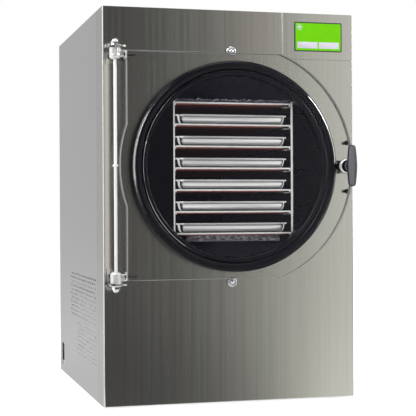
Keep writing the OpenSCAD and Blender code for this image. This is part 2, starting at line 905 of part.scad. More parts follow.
module latch_nut() {
    washer_r = 12.5;
    washer_t = 2;
    nut_h = 8;
    color("gainsboro") at_latch() translate([0, -door_back + seat, 0]) difference() {
        union() {
            y_rod(washer_r, 0, washer_t);
            translate([0, washer_t, 0]) y_rod(washer_r - 1, 0, nut_h, $fn = 6);
        }
        y_rod(latch_r + pin_play, -cut, washer_t + nut_h + 2 * cut);
    }
}

// A cup behind the front panel; its face has a keyhole for the shaft's cross pin
module latch_receiver() {
    face = 3;
    slot = [cross_pin_r + latch_gap, cross_pin_half + latch_gap];
    color("gray") at_latch() difference() {
        union() {
            y_rod(receiver_r, sheet, receiver_d);
            y_rod(receiver_r + receiver_rim, sheet, receiver_wall);
        }
        y_rod(receiver_r - receiver_wall, sheet + face, receiver_d - face - receiver_wall);
        y_rod(latch_r + latch_gap, 0, 2 * sheet + face);
        block([-slot[0], 0, -slot[1]], [slot[0], 2 * sheet + face, slot[1]]);
    }
}

// Rubber pegs beside the door's edge, above and below the latch
module door_stops() {
    r = 3.4;
    reach = 20;
    color("black") at_latch()
        for (s = [-1, 1])
            translate([hub_r + r, 0, s * 49])
                turned_y([[0, 0], [r + 1.5, 0], [r + 1.5, -2], [r, -2],
                          [r, 2 - reach], [r - 1, -reach], [0, -reach]]);
}

// ---------------------------------------------------------------- machinery

// A domed shell with a welded seam, on a foot plate with four rubber grommets
module compressor() {
    r = compressor_r;
    h = compressor_h;
    base = 10;
    seam_z = 0.55 * h;
    seam_w = 4;
    dome = 40;
    color("black") at_front() translate([compressor_x, compressor_y, floor_z]) {
        translate([0, 0, base]) rotate_extrude() polygon(concat(
            [[0, 0], [0.6 * r, 0], [r - 6, 10], [r, 30], [r, seam_z], [r + seam_w, seam_z],
             [r + seam_w, seam_z + seam_w], [r, seam_z + seam_w]],
            arc([r - dome, h - base - dome], dome, 0, 90, 8), [[0, h - base]]));
        translate([0, 0, base - 2]) linear_extrude(3) round_rect(2 * r + 16, 2 * r - 20, 12);
        for (x = [-1, 1], y = [-1, 1])
            translate([x * (r - 2), y * (r - 22), 0]) cylinder(r = 9, h = base - 2, $fn = 32);
    }
}

// A block of fins between two end plates that stand on the base pan
module condenser_coil() {
    fin = 3;
    gap = 7;
    groove = 14;
    half = condenser_d / 2;
    fins = floor((condenser_d - 2 * fin) / (fin + gap));
    color("silver") at_front() translate([condenser_x, fan_y, 0]) {
        for (y = [-half, half - fin])
            block([0, y, floor_z], [condenser_t, y + fin, condenser_top]);
        difference() {
            block([4, fin - half, condenser_low], [condenser_t - 4, half - fin, condenser_top]);
            for (i = [0:fins - 1])
                translate([-cut, 2 * fin - half + i * (fin + gap), condenser_low - cut])
                    cube([groove + cut, gap, condenser_h + 2 * cut]);
        }
    }
}

// A plate with a ring around the blades, and two arms that hold the motor
module fan_shroud() {
    wall = 2;
    half = condenser_d / 2;
    arm = 8;
    motor_grip = 12;
    hub = 22;
    reach = fan_r + 5;
    arm_x = shroud_x + shroud_ring;
    color("dimgray") at_front() translate([0, fan_y, 0]) {
        difference() {
            union() {
                block([shroud_x, -half, floor_z], [shroud_x + wall, half, condenser_top]);
                translate([0, 0, fan_z]) x_rod(reach, shroud_x, shroud_ring);
            }
            translate([0, 0, fan_z]) x_rod(reach - wall, shroud_x - cut, shroud_ring + 2 * cut);
        }
        for (s = [0, 1]) mirror([0, s, 0]) {
            block([arm_x, hub, fan_z - arm / 2], [arm_x + wall, reach, fan_z + arm / 2]);
            block([arm_x, hub, fan_z - arm / 2],
                  [motor_x + motor_grip, hub + arm, fan_z + arm / 2]);
        }
    }
}

module fan_motor() {
    r = 22 - pin_play;
    color("gray") at_front() translate([0, fan_y, fan_z]) difference() {
        x_rod(r, motor_x, motor_l);
        x_rod(shaft_r + pin_play, motor_x - cut, 0.75 * motor_l + cut);
    }
}

module fan_shaft() {
    start = shroud_x + 4;
    color("silver") at_front() translate([0, fan_y, fan_z])
        x_rod(shaft_r, start, motor_x + 0.7 * motor_l - start);
}

module fan_blades() {
    blades = 5;
    hub_r = 18;
    hub_h = 18;
    pitch = 28;
    blade = [2, 32, fan_r - hub_r - 2];
    color("white") at_front() translate([0, fan_y, fan_z]) difference() {
        union() {
            x_rod(hub_r, shroud_x + 5, hub_h);
            for (i = [0:blades - 1])
                rotate([i * 360 / blades, 0, 0]) translate([shroud_x + 14, 0, hub_r - 4])
                    rotate([0, 0, pitch]) translate([-blade[0] / 2, -blade[1] / 2, 0])
                        cube(blade);
        }
        x_rod(shaft_r, shroud_x, 2 * hub_h);
    }
}

// A pipe welded into the chamber's back plate, with a collar against the back panel
module vacuum_port() {
    start = drum_end - drum_back;
    end = cabinet_d + port_out;
    collar_w = 6;
    collar_t = 3;
    color("silver") at_front() translate([port_x, 0, port_z]) difference() {
        union() {
            y_rod(port_d / 2 - pin_play, start, end - start);
            y_rod(port_d / 2 + collar_w, cabinet_d, collar_t);
        }
        y_rod(port_bore / 2, start - cut, end - start + 2 * cut);
    }
}

// Soft tube from the chamber's lowest point to the opening at the lower left
module drain_tube() {
    left_x = -half_w + 26;
    run_x = chamber_x - 30;
    color("lightblue") at_front()
        tube_run([[chamber_x, drain_y, chamber_z - drum_out + 1], [chamber_x, drain_y, drain_z],
                  [run_x, drain_y, drain_z], [run_x, drain_exit_y, drain_z],
                  [left_x, drain_exit_y, drain_z], [left_x, drain_exit_y, drain_exit_z],
                  [-half_w + 6, drain_exit_y, drain_exit_z]], drain_r - pin_play);
}

module power_inlet() {
    body = [27, 19];
    recess = [23, 15];
    flange = [48, 24];
    color("black") at_front() translate([inlet_x, 0, inlet_z]) difference() {
        union() {
            y_plate(cabinet_d, 3) square(flange, center = true);
            y_plate(cabinet_d - 28, 28) square(body, center = true);
        }
        y_plate(cabinet_d - 16, 20) square(recess, center = true);
    }
}

module switch_housing() {
    outer = [switch_w, switch_h];
    body = [switch_w - 5, switch_h - 5];
    recess = [switch_w - 9, switch_h - 9];
    color("black") at_front() translate([switch_x, 0, switch_z]) difference() {
        union() {
            y_plate(cabinet_d, 2) square(outer, center = true);
            y_plate(cabinet_d - 22, 22) square(body, center = true);
        }
        y_plate(cabinet_d - 16, 19) square(recess, center = true);
        translate([0, rocker_y, 0])
            x_rod(rocker_pin_r + pin_play, -recess[0] / 2 - 1.7, recess[0] + 3.4, $fn = 32);
    }
}

// A rocker on two stub pins, tipped to one side
module power_switch() {
    half = switch_w / 2 - 5;
    tip = switch_h / 2 - 5.6;
    color("red") at_front() translate([switch_x, rocker_y, switch_z]) {
        rotate([rocker_tilt, 0, 0]) rotate([90, 0, 90]) translate([0, 0, -half])
            linear_extrude(2 * half)
                polygon([[-5, -3], [-5, 3], [3, tip], [6.4, tip], [4.2, 0], [6.4, -tip], [3, -tip]]);
        x_rod(rocker_pin_r, -half - 1.6, 2 * half + 3.2, $fn = 32);
    }
}

// Straight runs of tube through a list of points, with a ball at each bend
module tube_run(points, r) {
    for (i = [0:len(points) - 2]) {
        step = points[i + 1] - points[i];
        length = norm(step);
        translate(points[i]) rotate([0, acos(step[2] / length), atan2(step[1], step[0])])
            cylinder(r = r, h = length, $fn = 24);
        if (i > 0) translate(points[i]) sphere(r = r, $fn = 24);
    }
}

// Hot gas to the condenser, liquid through the drier to the coil, and the return
module refrigerant_lines() {
    coil_low = chamber_z - coil_r - coil_tube_r - seat;
    shell_top = floor_z + compressor_h;
    gas = [compressor_x - 24, compressor_y - 24];
    suction = [compressor_x + 24, compressor_y];
    liquid_x = condenser_x + condenser_t - 12;
    gas_y = 120;
    drier_y = 330;
    drier_x = -150;
    drier_l = 70;
    bend_x = -60;
    color("peru") at_front() {
        tube_run([[gas[0], gas[1], shell_top], [gas[0], gas[1], line_z], [gas[0], gas_y, line_z],
                  [liquid_x, gas_y, line_z], [liquid_x, gas_y, condenser_top]], line_r);
        tube_run([[liquid_x, drier_y, condenser_top], [liquid_x, drier_y, line_z],
                  [bend_x, drier_y, line_z], [bend_x, coil_in_y, line_z],
                  [chamber_x, coil_in_y, line_z], [chamber_x, coil_in_y, coil_low]], line_r);
        translate([0, drier_y, line_z]) x_rod(9, drier_x, drier_l);
        tube_run([[suction[0], suction[1], shell_top], [suction[0], suction[1], line_z],
                  [suction[0], coil_out_y, line_z], [chamber_x, coil_out_y, line_z],
                  [chamber_x, coil_out_y, coil_low]], line_r);
    }
}

base_pan();
front_panel();
left_side_panel();
right_side_panel();
top_panel();
back_panel();
control_panel();
rubber_feet();
panel_screws();
chamber_screws();
display_bezel();
touch_screen();
control_board();
vacuum_chamber();
insulation_jacket();
evaporator_coil();
door_gasket();
chamber_cradle();
rack_side(-1);  // rack_side_left
rack_side(1);  // rack_side_right
shelf(1);  // shelf_1
shelf(2);  // shelf_2
shelf(3);  // shelf_3
shelf(4);  // shelf_4
shelf(5);  // shelf_5
shelf(6);  // shelf_6
shelf(7);  // shelf_7
tray(1);  // tray_1
tray(2);  // tray_2
tray(3);  // tray_3
tray(4);  // tray_4
tray(5);  // tray_5
tray(6);  // tray_6
heater_mats();
heater_leads();
foil_blankets();
door_plate();
hinge_mounts();
mount_screws();
hinge_knuckles();
hinge_screws();
hinge_rod();
hinge_cap_nuts();
latch_handle();
latch_shaft();
latch_nut();
latch_receiver();
door_stops();
compressor();
condenser_coil();
fan_shroud();
fan_blades();
fan_shaft();
fan_motor();
vacuum_port();
drain_tube();
power_inlet();
power_switch();
switch_housing();
refrigerant_lines();
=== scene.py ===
import math

import bmesh
import bpy
import numpy as np
from mathutils import Matrix, Vector


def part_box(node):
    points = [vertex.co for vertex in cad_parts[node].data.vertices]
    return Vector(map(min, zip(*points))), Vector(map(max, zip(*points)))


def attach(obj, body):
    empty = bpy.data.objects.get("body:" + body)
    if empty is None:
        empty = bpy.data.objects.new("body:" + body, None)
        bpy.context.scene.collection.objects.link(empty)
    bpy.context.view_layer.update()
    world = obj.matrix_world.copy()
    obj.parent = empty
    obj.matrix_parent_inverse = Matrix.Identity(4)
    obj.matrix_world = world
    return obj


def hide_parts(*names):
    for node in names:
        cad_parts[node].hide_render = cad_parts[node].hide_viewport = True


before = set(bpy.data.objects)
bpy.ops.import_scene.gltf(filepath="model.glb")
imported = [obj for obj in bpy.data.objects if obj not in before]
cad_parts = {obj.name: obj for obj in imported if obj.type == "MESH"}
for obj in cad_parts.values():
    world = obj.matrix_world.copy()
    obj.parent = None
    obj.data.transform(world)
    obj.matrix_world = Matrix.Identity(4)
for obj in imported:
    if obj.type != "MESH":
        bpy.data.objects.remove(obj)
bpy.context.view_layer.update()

# ------------ camera
# The camera stands to the left of the cabinet, level with the middle of its height,
# and looks a little to the right, so that the front and the left side both show.
eye = Vector((-0.66095, -2.57765, 0.38497))
turn, tilt, lean = (math.radians(a) for a in (14.892, 0.081, -0.300))
ahead = Vector((math.sin(turn) * math.cos(tilt), math.cos(turn) * math.cos(tilt), math.sin(tilt)))
level = Vector((math.cos(turn), -math.sin(turn), 0))
upward = level.cross(ahead)
frame_right = level * math.cos(lean) + upward * math.sin(lean)
frame_up = upward * math.cos(lean) - level * math.sin(lean)

lens = bpy.data.cameras.new("camera")
lens.lens, lens.sensor_width = 104.5, 36
lens.clip_start, lens.clip_end = 0.1, 60


def placed(name, data):
    """An object of the given data, linked into the scene."""
    thing = bpy.data.objects.new(name, data)
    bpy.context.scene.collection.objects.link(thing)
    return thing


camera = placed("camera", lens)
axes = Matrix((frame_right, frame_up, -ahead)).transposed()
camera.matrix_world = Matrix.Translation(eye) @ axes.to_4x4()
bpy.context.scene.camera = camera
bpy.context.scene.view_settings.view_transform = "Standard"

# ------------ studio
# A white floor under a white world, and four soft lamps. Only polished surfaces see the cards:
# one that lies before the cabinet and one that stands at its far end, both grey at one side and
# pale at the other, two upright strips, one overhead, and the glow of the door's edge.
world = bpy.data.worlds.new("studio")
bpy.context.scene.world = world
world.use_nodes = True


def seen_white(tree):
    """1 for camera, glossy and transmission rays, 0 for all the rest: the largest of the three."""
    path = tree.nodes.new("ShaderNodeLightPath")
    most = path.outputs["Is Camera Ray"]
    for other in ("Is Glossy Ray", "Is Transmission Ray"):
        larger = tree.nodes.new("ShaderNodeMath")
        larger.operation = "MAXIMUM"
        tree.links.new(most, larger.inputs[0])
        tree.links.new(path.outputs[other], larger.inputs[1])
        most = larger.outputs[0]
    return most


def set_up(node, **sockets):
    """Give sockets of a node their values. A socket's name has _ for each space."""
    for socket, value in sockets.items():
        node.inputs[socket.replace("_", " ")].default_value = value


def mixed(tree, factor, low, high, over=(0.0, 1.0)):
    """A number that goes evenly from low to high while factor goes over a range, and no further."""
    between = tree.nodes.new("ShaderNodeMapRange")
    set_up(between, From_Min=over[0], From_Max=over[1], To_Min=low, To_Max=high)
    tree.links.new(factor, between.inputs["Value"])
    return between.outputs["Result"]


WORLD_LIGHT, FLOOR_GLOW, FLOOR_END = 0.54, 0.62, 9
sky = world.node_tree.nodes["Background"]
set_up(sky, Color=(1, 1, 1, 1))
world.node_tree.links.new(mixed(world.node_tree, seen_white(world.node_tree), WORLD_LIGHT, 1.0),
                          sky.inputs["Strength"])


def surface(*patches, solid=True):
    """A mesh of one or more grids of points. Each patch is (points, closed_u, closed_v), with
    points of shape (u, v, 3). Corners that meet are merged, and the faces of a solid are turned
    outwards."""
    corners, faces, count = [], [], 0
    for points, closed_u, closed_v in patches:
        rows, columns = points.shape[:2]
        number = count + np.arange(rows * columns).reshape(rows, columns)
        if closed_u:
            number = np.vstack([number, number[:1]])
        if closed_v:
            number = np.hstack([number, number[:, :1]])
        quads = np.stack([number[:-1, :-1], number[1:, :-1], number[1:, 1:], number[:-1, 1:]], -1)
        corners.append(points.reshape(-1, 3))
        faces.append(quads.reshape(-1, 4))
        count += rows * columns
    mesh = bpy.data.meshes.new("surface")
    mesh.from_pydata(np.vstack(corners).tolist(), [], np.vstack(faces).tolist())
    welded = bmesh.new()
    welded.from_mesh(mesh)
    bmesh.ops.remove_doubles(welded, verts=welded.verts, dist=1e-6)
    if solid:
        bmesh.ops.recalc_face_normals(welded, faces=welded.faces)
    welded.to_mesh(mesh)
    welded.free()
    return mesh


floor_mesh = surface((np.array([[[x, y, 0.0] for y in (-FLOOR_END, FLOOR_END)]
                                for x in (-FLOOR_END, FLOOR_END)]), False, False), solid=False)
placed("floor", floor_mesh)
paper = bpy.data.materials.new("floor_paper")
paper.use_nodes = True
paper_face = paper.node_tree.nodes["Principled BSDF"]
set_up(paper_face, Base_Color=(0.82, 0.82, 0.82, 1), Roughness=0.9, Specular_IOR_Level=0.1,
       Emission_Color=(1, 1, 1, 1))
paper.node_tree.links.new(mixed(paper.node_tree, seen_white(paper.node_tree), 0.0, FLOOR_GLOW),
                          paper_face.inputs["Emission Strength"])
floor_mesh.materials.append(paper)


def shades_of(tree, factor, stops):
    """A colour read off a ramp of (place, colour) stops at factor."""
    ramp = tree.nodes.new("ShaderNodeValToRGB")
    marks = ramp.color_ramp.elements
    while len(marks) < len(stops):
        marks.new(0.5)
    for mark, (place, colour) in zip(marks, stops):
        mark.position = place
    for mark, (place, colour) in zip(marks, stops):
        mark.color = (*colour, 1)
    tree.links.new(factor, ramp.inputs["Fac"])
    return ramp.outputs["Color"]


def blend(tree, factor, under, over, mode="MIX"):
    """The colour under with another laid over it by factor. Factor and over are a number and a
    colour, or the sockets that give them."""
    mix = tree.nodes.new("ShaderNodeMix")
    mix.data_type, mix.blend_type = "RGBA", mode
    tree.links.new(under, mix.inputs["A"])
    for socket, given in (("Factor", factor), ("B", over)):
        if isinstance(given, bpy.types.NodeSocket):
            tree.links.new(given, mix.inputs[socket])
        else:
            mix.inputs[socket].default_value = given
    return mix.outputs["Result"]


GRAZING = (0.62, 0.80)        # between these facing weights a card turns to its steep colour


def card(name, points, stops, share_at, strength, steep=None):
    """A card that only glossy and transmitted rays see. It glows by the stops, (place, colour)
    pairs, along a number from 0 to 1 that share_at gives for each corner, and by the colour
    steep, where given, when it is looked at from well above its own plane."""
    mesh = surface((points, False, False), solid=False)
    corners = np.empty((len(mesh.vertices), 3), np.float32)
    mesh.vertices.foreach_get("co", corners.ravel())
    mesh.attributes.new("share", "FLOAT", "POINT").data.foreach_set("value", share_at(corners))
    sheet = placed(name, mesh)
    sheet.visible_camera = sheet.visible_diffuse = sheet.visible_shadow = False
    glow = bpy.data.materials.new(name)
    glow.use_nodes = True
    tree = glow.node_tree
    tree.nodes.remove(tree.nodes["Principled BSDF"])
    where = tree.nodes.new("ShaderNodeAttribute")
    where.attribute_name = "share"
    colour = shades_of(tree, where.outputs["Fac"], stops)
    if steep:
        facing = tree.nodes.new("ShaderNodeLayerWeight").outputs["Facing"]
        colour = blend(tree, mixed(tree, facing, 1.0, 0.0, GRAZING), colour, (*steep, 1))
    shine = tree.nodes.new("ShaderNodeEmission")
    set_up(shine, Strength=strength)
    tree.links.new(colour, shine.inputs["Color"])
    tree.links.new(shine.outputs["Emission"], tree.nodes["Material Output"].inputs["Surface"])
    mesh.materials.append(glow)


# The two large cards are laid out by bearing round a pivot, the mirror image of the camera in
# the cabinet's front. SWEEP is the bearings of their dusky and their pale end, in degrees.
face_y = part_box("front_panel")[0].y
pivot = Vector((eye.x, 2 * face_y - eye.y, 0))
SWEEP = (-34, 56)
FAR_EDGE, CARD_TALL, CARD_LIFT, CARD_GLOW = 6.0, 4.6, 0.004, 1.15
bearing = np.radians(np.linspace(*SWEEP, 91))[:, None]
even = np.linspace(0, 1, 12)[None, :]
near_edge = (pivot.y - face_y + 0.006) / np.cos(bearing)


def round_pivot(distance, height):
    """Points at a distance from the pivot along each bearing, and at a height."""
    return np.stack(np.broadcast_arrays(pivot.x + distance * np.sin(bearing),
                                        pivot.y - distance * np.cos(bearing), height), -1)


def share_of(angle):
    """Where a bearing in degrees lies on the sweep, from 0 to 1."""
    return (angle - SWEEP[0]) / (SWEEP[1] - SWEEP[0])


def share_round(points):
    """Where points lie on the sweep, by the arctangent of their offsets from the pivot."""
    return share_of(np.degrees(np.arctan2(points[:, 0] - pivot.x, pivot.y - points[:, 1])))


dusk_to_dawn = [(share_of(angle), tuple(grey * t for t in tint)) for angle, grey, tint in (
    (-34, 0.06, (1, 1, 1)), (9.5, 0.085, (1, 1, 0.98)), (12.5, 0.095, (1, 1, 1)),
    (15, 0.185, (1, 0.97, 0.92)), (17, 0.365, (1, 0.97, 0.91)), (18.2, 0.57, (1, 0.98, 0.91)),
    (20.5, 1.02, (1, 1, 0.92)), (22, 1.16, (1, 1, 0.95)), (27, 1.16, (1, 1, 0.95)),
    (36, 0.3, (1, 1, 1)), (56, 0.2, (1, 1, 1)))]
card("front_card", round_pivot(FAR_EDGE, CARD_LIFT + CARD_TALL * even), dusk_to_dawn, share_round,
     CARD_GLOW)
card("floor_card", round_pivot(near_edge * (1 - even) + FAR_EDGE * even, CARD_LIFT), dusk_to_dawn,
     share_round, CARD_GLOW, (0.78, 0.78, 0.78))


def flat_card(name, corner, along, up, strength, tint=(1, 1, 1), start=None):
    """A flat card from a corner along two directions. It glows with an even tint, or from the
    tint start at its least x to the other at its greatest."""
    steps = np.linspace(0, 1, 2)
    points = (np.array(corner) + steps[:, None, None] * np.array(along)
              + steps[None, :, None] * np.array(up))
    card(name, points, [(0.0, start or tint), (1.0, tint)],
         lambda at: (at[:, 0] - corner[0]) / max(along[0], 1e-6), strength)


flat_card("strip_left", (-2.6, -1.15, 0.0), (0.0, 0.5, 0.0), (0, 0, 2.3), 1.8, (0.97, 0.99, 1.0))
flat_card("strip_right", (2.4, -0.9, 0.3), (0.0, 0.35, 0.0), (0, 0, 1.9), 7.0)
flat_card("ceiling_card", (-1.4, -3.2, 3.4), (2.8, 0.0, 0.0), (0, 3.4, 0), 0.12)
# light that the door's left edge gathers and throws on the strip of steel beside it
door_box, left_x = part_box("door_plate"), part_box("front_panel")[0].x
GLOW_INSET, GLOW_WIDE, GLOW_ENDS = 0.004, 0.0125, 0.010
flat_card("edge_glow", (left_x + GLOW_INSET, door_box[1].y, door_box[0].z + GLOW_ENDS),
          (GLOW_WIDE, 0, 0), (0, 0, door_box[1].z - door_box[0].z - 2 * GLOW_ENDS), 1.35,
          (1.0, 1.0, 0.90), (0.66, 0.60, 0.54))


def lamp(name, place, aim, side, watts):
    """A square soft lamp of the given side in metres, at place and turned to aim."""
    light = bpy.data.lights.new(name, "AREA")
    light.size, light.energy = side, watts
    holder = placed(name, light)
    holder.location = place
    holder.rotation_mode = "QUATERNION"
    holder.rotation_quaternion = (Vector(aim) - Vector(place)).to_track_quat("-Z", "Y")


lamp("lamp_left", (-3.0, -1.5, 2.3), (0, 0, 0.4), 1.5, 42)
lamp("lamp_right", (2.5, -1.1, 1.7), (0, 0, 0.4), 0.8, 26)
lamp("lamp_top", (0.2, -0.9, 3.1), (0, 0, 0.4), 1.4, 20)
lamp("lamp_front", (-1.9, -2.2, 3.1), (0, 0, 0.45), 1.0, 34)

# ------------ front and control panel
# Sheet stainless steel, 1.5 mm thick, brushed up and down and folded back at both sides.
# The bends are round, and the panels hang on the frame from behind with no fixing in sight.
BEND, SEAM, EASE = 0.0030, 0.0011, 0.00035        # radii of the folds, the seam and the rest
SEAM_GAP = 0.0008


def noise_of(tree, grain, detail=4.0):
    """Noise with grain cells per metre along X, Y and Z."""
    place = tree.nodes.new("ShaderNodeTexCoord")
    stretch = tree.nodes.new("ShaderNodeMapping")
    set_up(stretch, Scale=grain)
    noise = tree.nodes.new("ShaderNodeTexNoise")
    set_up(noise, Scale=1.0, Detail=detail)
    tree.links.new(place.outputs["Object"], stretch.inputs["Vector"])
    tree.links.new(stretch.outputs["Vector"], noise.inputs["Vector"])
    return noise.outputs["Fac"]


def relief_of(tree, factor, height):
    """A normal for bumps of the given height in metres where factor runs from 0 to 1."""
    bump = tree.nodes.new("ShaderNodeBump")
    set_up(bump, Distance=height)
    tree.links.new(factor, bump.inputs["Height"])
    return bump.outputs["Normal"]


def triple(value):
    """Three of a number, or the three that are given."""
    return value if isinstance(value, tuple) else (value,) * 3


def finish(name, dark, pale, grain, rough, relief=0.0, metal=0.0, detail=4.0, **sockets):
    """A finish whose colour runs from dark to pale and whose roughness runs over rough, both by
    one noise with grain cells per metre along X, Y and Z; relief is its bumps' height in metres.
    A grey or an even grain is one number."""
    mat = bpy.data.materials.new(name)
    mat.use_nodes = True
    tree = mat.node_tree
    shader = tree.nodes["Principled BSDF"]
    noise = noise_of(tree, triple(grain), detail)
    shades = shades_of(tree, noise, [(0.3, triple(dark)), (0.7, triple(pale))])
    tree.links.new(shades, shader.inputs["Base Color"])
    tree.links.new(mixed(tree, noise, *rough), shader.inputs["Roughness"])
    if relief:
        tree.links.new(relief_of(tree, noise, relief), shader.inputs["Normal"])
    set_up(shader, Metallic=metal, **sockets)
    return mat


def recolour(mat, factor, over, mode="MIX"):
    """Lay another colour over a finish's own by factor."""
    base = mat.node_tree.nodes["Principled BSDF"].inputs["Base Color"]
    under = base.links[0].from_socket
    mat.node_tree.links.new(blend(mat.node_tree, factor, under, over, mode), base)


def dress(mat, *nodes):
    """Give CAD nodes a finish."""
    for node in nodes:
        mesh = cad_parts[node].data
        mesh.materials.clear()
        mesh.materials.append(mat)


def fit(name, mesh, slot, mat, *nodes, body="root", crease=32):
    """Put a mesh in the scene as a piece that rides a body and stands for CAD nodes. Edges that
    turn by more than crease degrees stay sharp."""
    mesh.name = name
    mesh.materials.clear()
    mesh.materials.append(mat)
    mesh.shade_smooth()
    mesh.set_sharp_from_angle(angle=math.radians(crease))
    piece = placed(name, mesh)
    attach(piece, body)
    if nodes:
        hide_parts(*nodes)
    return piece


def sharp_edges(shape, crease):
    """The edges of a bmesh that turn by more than crease degrees."""
    return [e for e in shape.edges
            if len(e.link_faces) == 2 and e.calc_face_angle(0) > math.radians(crease)]


def round_off(shape, edges, width, segments):
    """Round some edges of a bmesh."""
    bmesh.ops.bevel(shape, geom=edges, offset=width, segments=segments, profile=0.5,
                    affect="EDGES", clamp_overlap=True)


def eased(node, ease, segments=2, bends=(), crease=25):
    """A welded copy of a CAD node with its edges rounded by ease. Before that, for each
    (radius, chosen) of bends, the edges for which chosen(edge) is true are rounded by radius."""
    shape = bmesh.new()
    shape.from_mesh(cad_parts[node].data)
    bmesh.ops.remove_doubles(shape, verts=shape.verts, dist=2e-6)
    bmesh.ops.dissolve_limit(shape, angle_limit=math.radians(0.4), verts=shape.verts,
                             edges=shape.edges)
    for radius, chosen in bends:
        round_off(shape, [e for e in sharp_edges(shape, crease) if chosen(e)], radius, 5)
    if ease:
        round_off(shape, sharp_edges(shape, crease), ease, segments)
    mesh = bpy.data.meshes.new(node)
    shape.to_mesh(mesh)
    shape.free()
    return mesh


def steady(piece):
    """Let the large flat faces of a piece set the normals of the rounds beside them."""
    weigh = piece.modifiers.new("steady", "WEIGHTED_NORMAL")
    weigh.keep_sharp = True
    return piece


brushed = finish("brushed_steel", (0.40, 0.40, 0.39), (0.445, 0.445, 0.43), (150, 150, 1.8),
                 (0.15, 0.22), relief=0.00002, metal=1.0, detail=6.0, Anisotropic=0.5)
tree = brushed.node_tree
recolour(brushed, 1.0,
         shades_of(tree, noise_of(tree, (11, 11, 0.8), 2.0),
                   [(0.35, (0.97, 1.0, 0.97)), (0.65, (1.0, 0.965, 0.955))]), "MULTIPLY")


def recoat(piece, mat, chosen):
    """Give the faces of a piece for which chosen(normal, centre) is true another finish."""
    piece.data.materials.append(mat)
    for face in piece.data.polygons:
        if chosen(face.normal, face.center):
            face.material_index = len(piece.data.materials) - 1


def upright_fold(*sides):
    """A test for the long upright edges of the front face at one of the given x."""
    def chosen(edge):
        one, other = (end.co for end in edge.verts)
        return (min(abs(one.x - x) for x in sides) < 1e-4 and abs(one.z - other.z) > 0.02
                and max(abs(one.y - face_y), abs(other.y - face_y)) < 1e-5)
    return chosen


fold_painted_shade = finish("fold_painted_shade", (0.19, 0.195, 0.18), (0.22, 0.225, 0.21), (150, 150, 1.8),
                    (0.30, 0.40), relief=0.00001, metal=1.0)
# painted highlight: a pale, half-metal copy of the steel for edges that should look lit
painted_highlight_edge = finish("painted_highlight_edge", (0.64, 0.64, 0.63), (0.76, 0.76, 0.75), (90, 160, 160),
                     (0.30, 0.46), metal=0.2)
right_x, seam_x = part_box("front_panel")[1].x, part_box("control_panel")[0].x
bends = ((BEND, upright_fold(left_x, right_x)), (SEAM, upright_fold(seam_x, seam_x - SEAM_GAP)))
for node in ("front_panel", "control_panel"):
    panel = steady(fit(node + "_steel", eased(node, EASE, 1, bends), "brushed_panel", brushed,
                       node))
    # painted shade: the faces that turn sideways, on the folds and in the seam, take a darker copy
    # of the steel
    recoat(panel, fold_painted_shade, lambda normal, centre: abs(normal.x) > 0.97)
    # painted highlight: the rounds of the left fold and of the seam take the pale edge finish
    recoat(panel, painted_highlight_edge, lambda normal, centre: centre.y < face_y + BEND + 0.001 and (
        (-0.95 < normal.x < -0.3 and centre.x < left_x + BEND + 0.001)
        or (0.1 < abs(normal.x) < 0.97 and abs(centre.x - seam_x) < 0.002)))

# ------------ sides, top, back and base
# The outer sheets are satin steel, screwed on at the back; the pan and the back are
# galvanised sheet. Four low rubber feet carry the pan.
satin = finish("satin_steel", (0.255, 0.255, 0.253), (0.285, 0.285, 0.281), (3, 90, 3.0),
               (0.34, 0.46), relief=0.00001, metal=1.0, detail=5.0)
zinc = finish("zinc_coat", (0.46, 0.48, 0.50), (0.62, 0.64, 0.66), 45, (0.32, 0.55), metal=1.0,
              detail=2.0)
foot_rubber = finish("foot_rubber", 0.012, 0.03, 220, (0.6, 0.8), relief=0.0001)
dress(satin, "right_side_panel", "top_panel")
dress(zinc, "base_pan", "back_panel")
dress(foot_rubber, "rubber_feet")
vented = fit("vented_side", eased("left_side_panel", 0), "side_panel", satin, "left_side_panel")
# painted highlight: the cut rims of the vents and of the drain's opening take the pale edge finish
recoat(vented, painted_highlight_edge, lambda normal, centre: abs(normal.x) < 0.3
       and centre.x < left_x + 0.003 and centre.z < 0.3 and -0.25 < centre.y < 0.25)

# ------------ chamber
# A drum of stainless steel, closed at the back, that rests in a galvanised cradle. The copper
# coil of the evaporator is wound round it, inside a jacket of black foam.


def aglow(colour, strength=1.0):
    """The sockets that let a finish glow with a colour."""
    return {"Emission_Color": (*colour, 1), "Emission_Strength": strength}


# painted light: the drum's dark steel glows faintly
chamber_steel = finish("chamber_steel", (0.07, 0.07, 0.085), (0.11, 0.11, 0.13), (30, 4, 30),
                       (0.22, 0.34), metal=1.0, **aglow((0.0050, 0.0048, 0.0066)))
foam = finish("foam_jacket", (0.030, 0.030, 0.032), (0.055, 0.055, 0.058), 350, (0.8, 0.95),
              relief=0.0004)
copper = finish("copper_tube", (0.62, 0.26, 0.13), (0.86, 0.46, 0.28), 60, (0.22, 0.42), metal=1.0)
dress(chamber_steel, "vacuum_chamber")
dress(zinc, "chamber_cradle")
dress(foam, "insulation_jacket")
dress(copper, "evaporator_coil")

# ------------ gasket
# A ring of black rubber, U-shaped in section, pushed over the lip of the chamber. Its front
# has a round shoulder, a shallow groove and a softer inner lip, and the door presses on it.
# Painted sheen: parts of shoulder and lip, chosen by side and height, are given a higher index than
# the rest and shine more.
ring_low, ring_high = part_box("door_gasket")
RING_R, GROOVE_R = 0.205, 0.1935
drum_x, drum_z = ring_high.x - RING_R, (ring_low.z + ring_high.z) / 2


def arc(centre, radius, start, stop, steps):
    """Points on a circle from start to stop in degrees, or on an ellipse if radius is a pair."""
    angle = np.radians(np.linspace(start, stop, steps))
    wide, tall = radius if isinstance(radius, tuple) else (radius, radius)
    return [(centre[0] + wide * math.cos(a), centre[1] + tall * math.sin(a)) for a in angle]


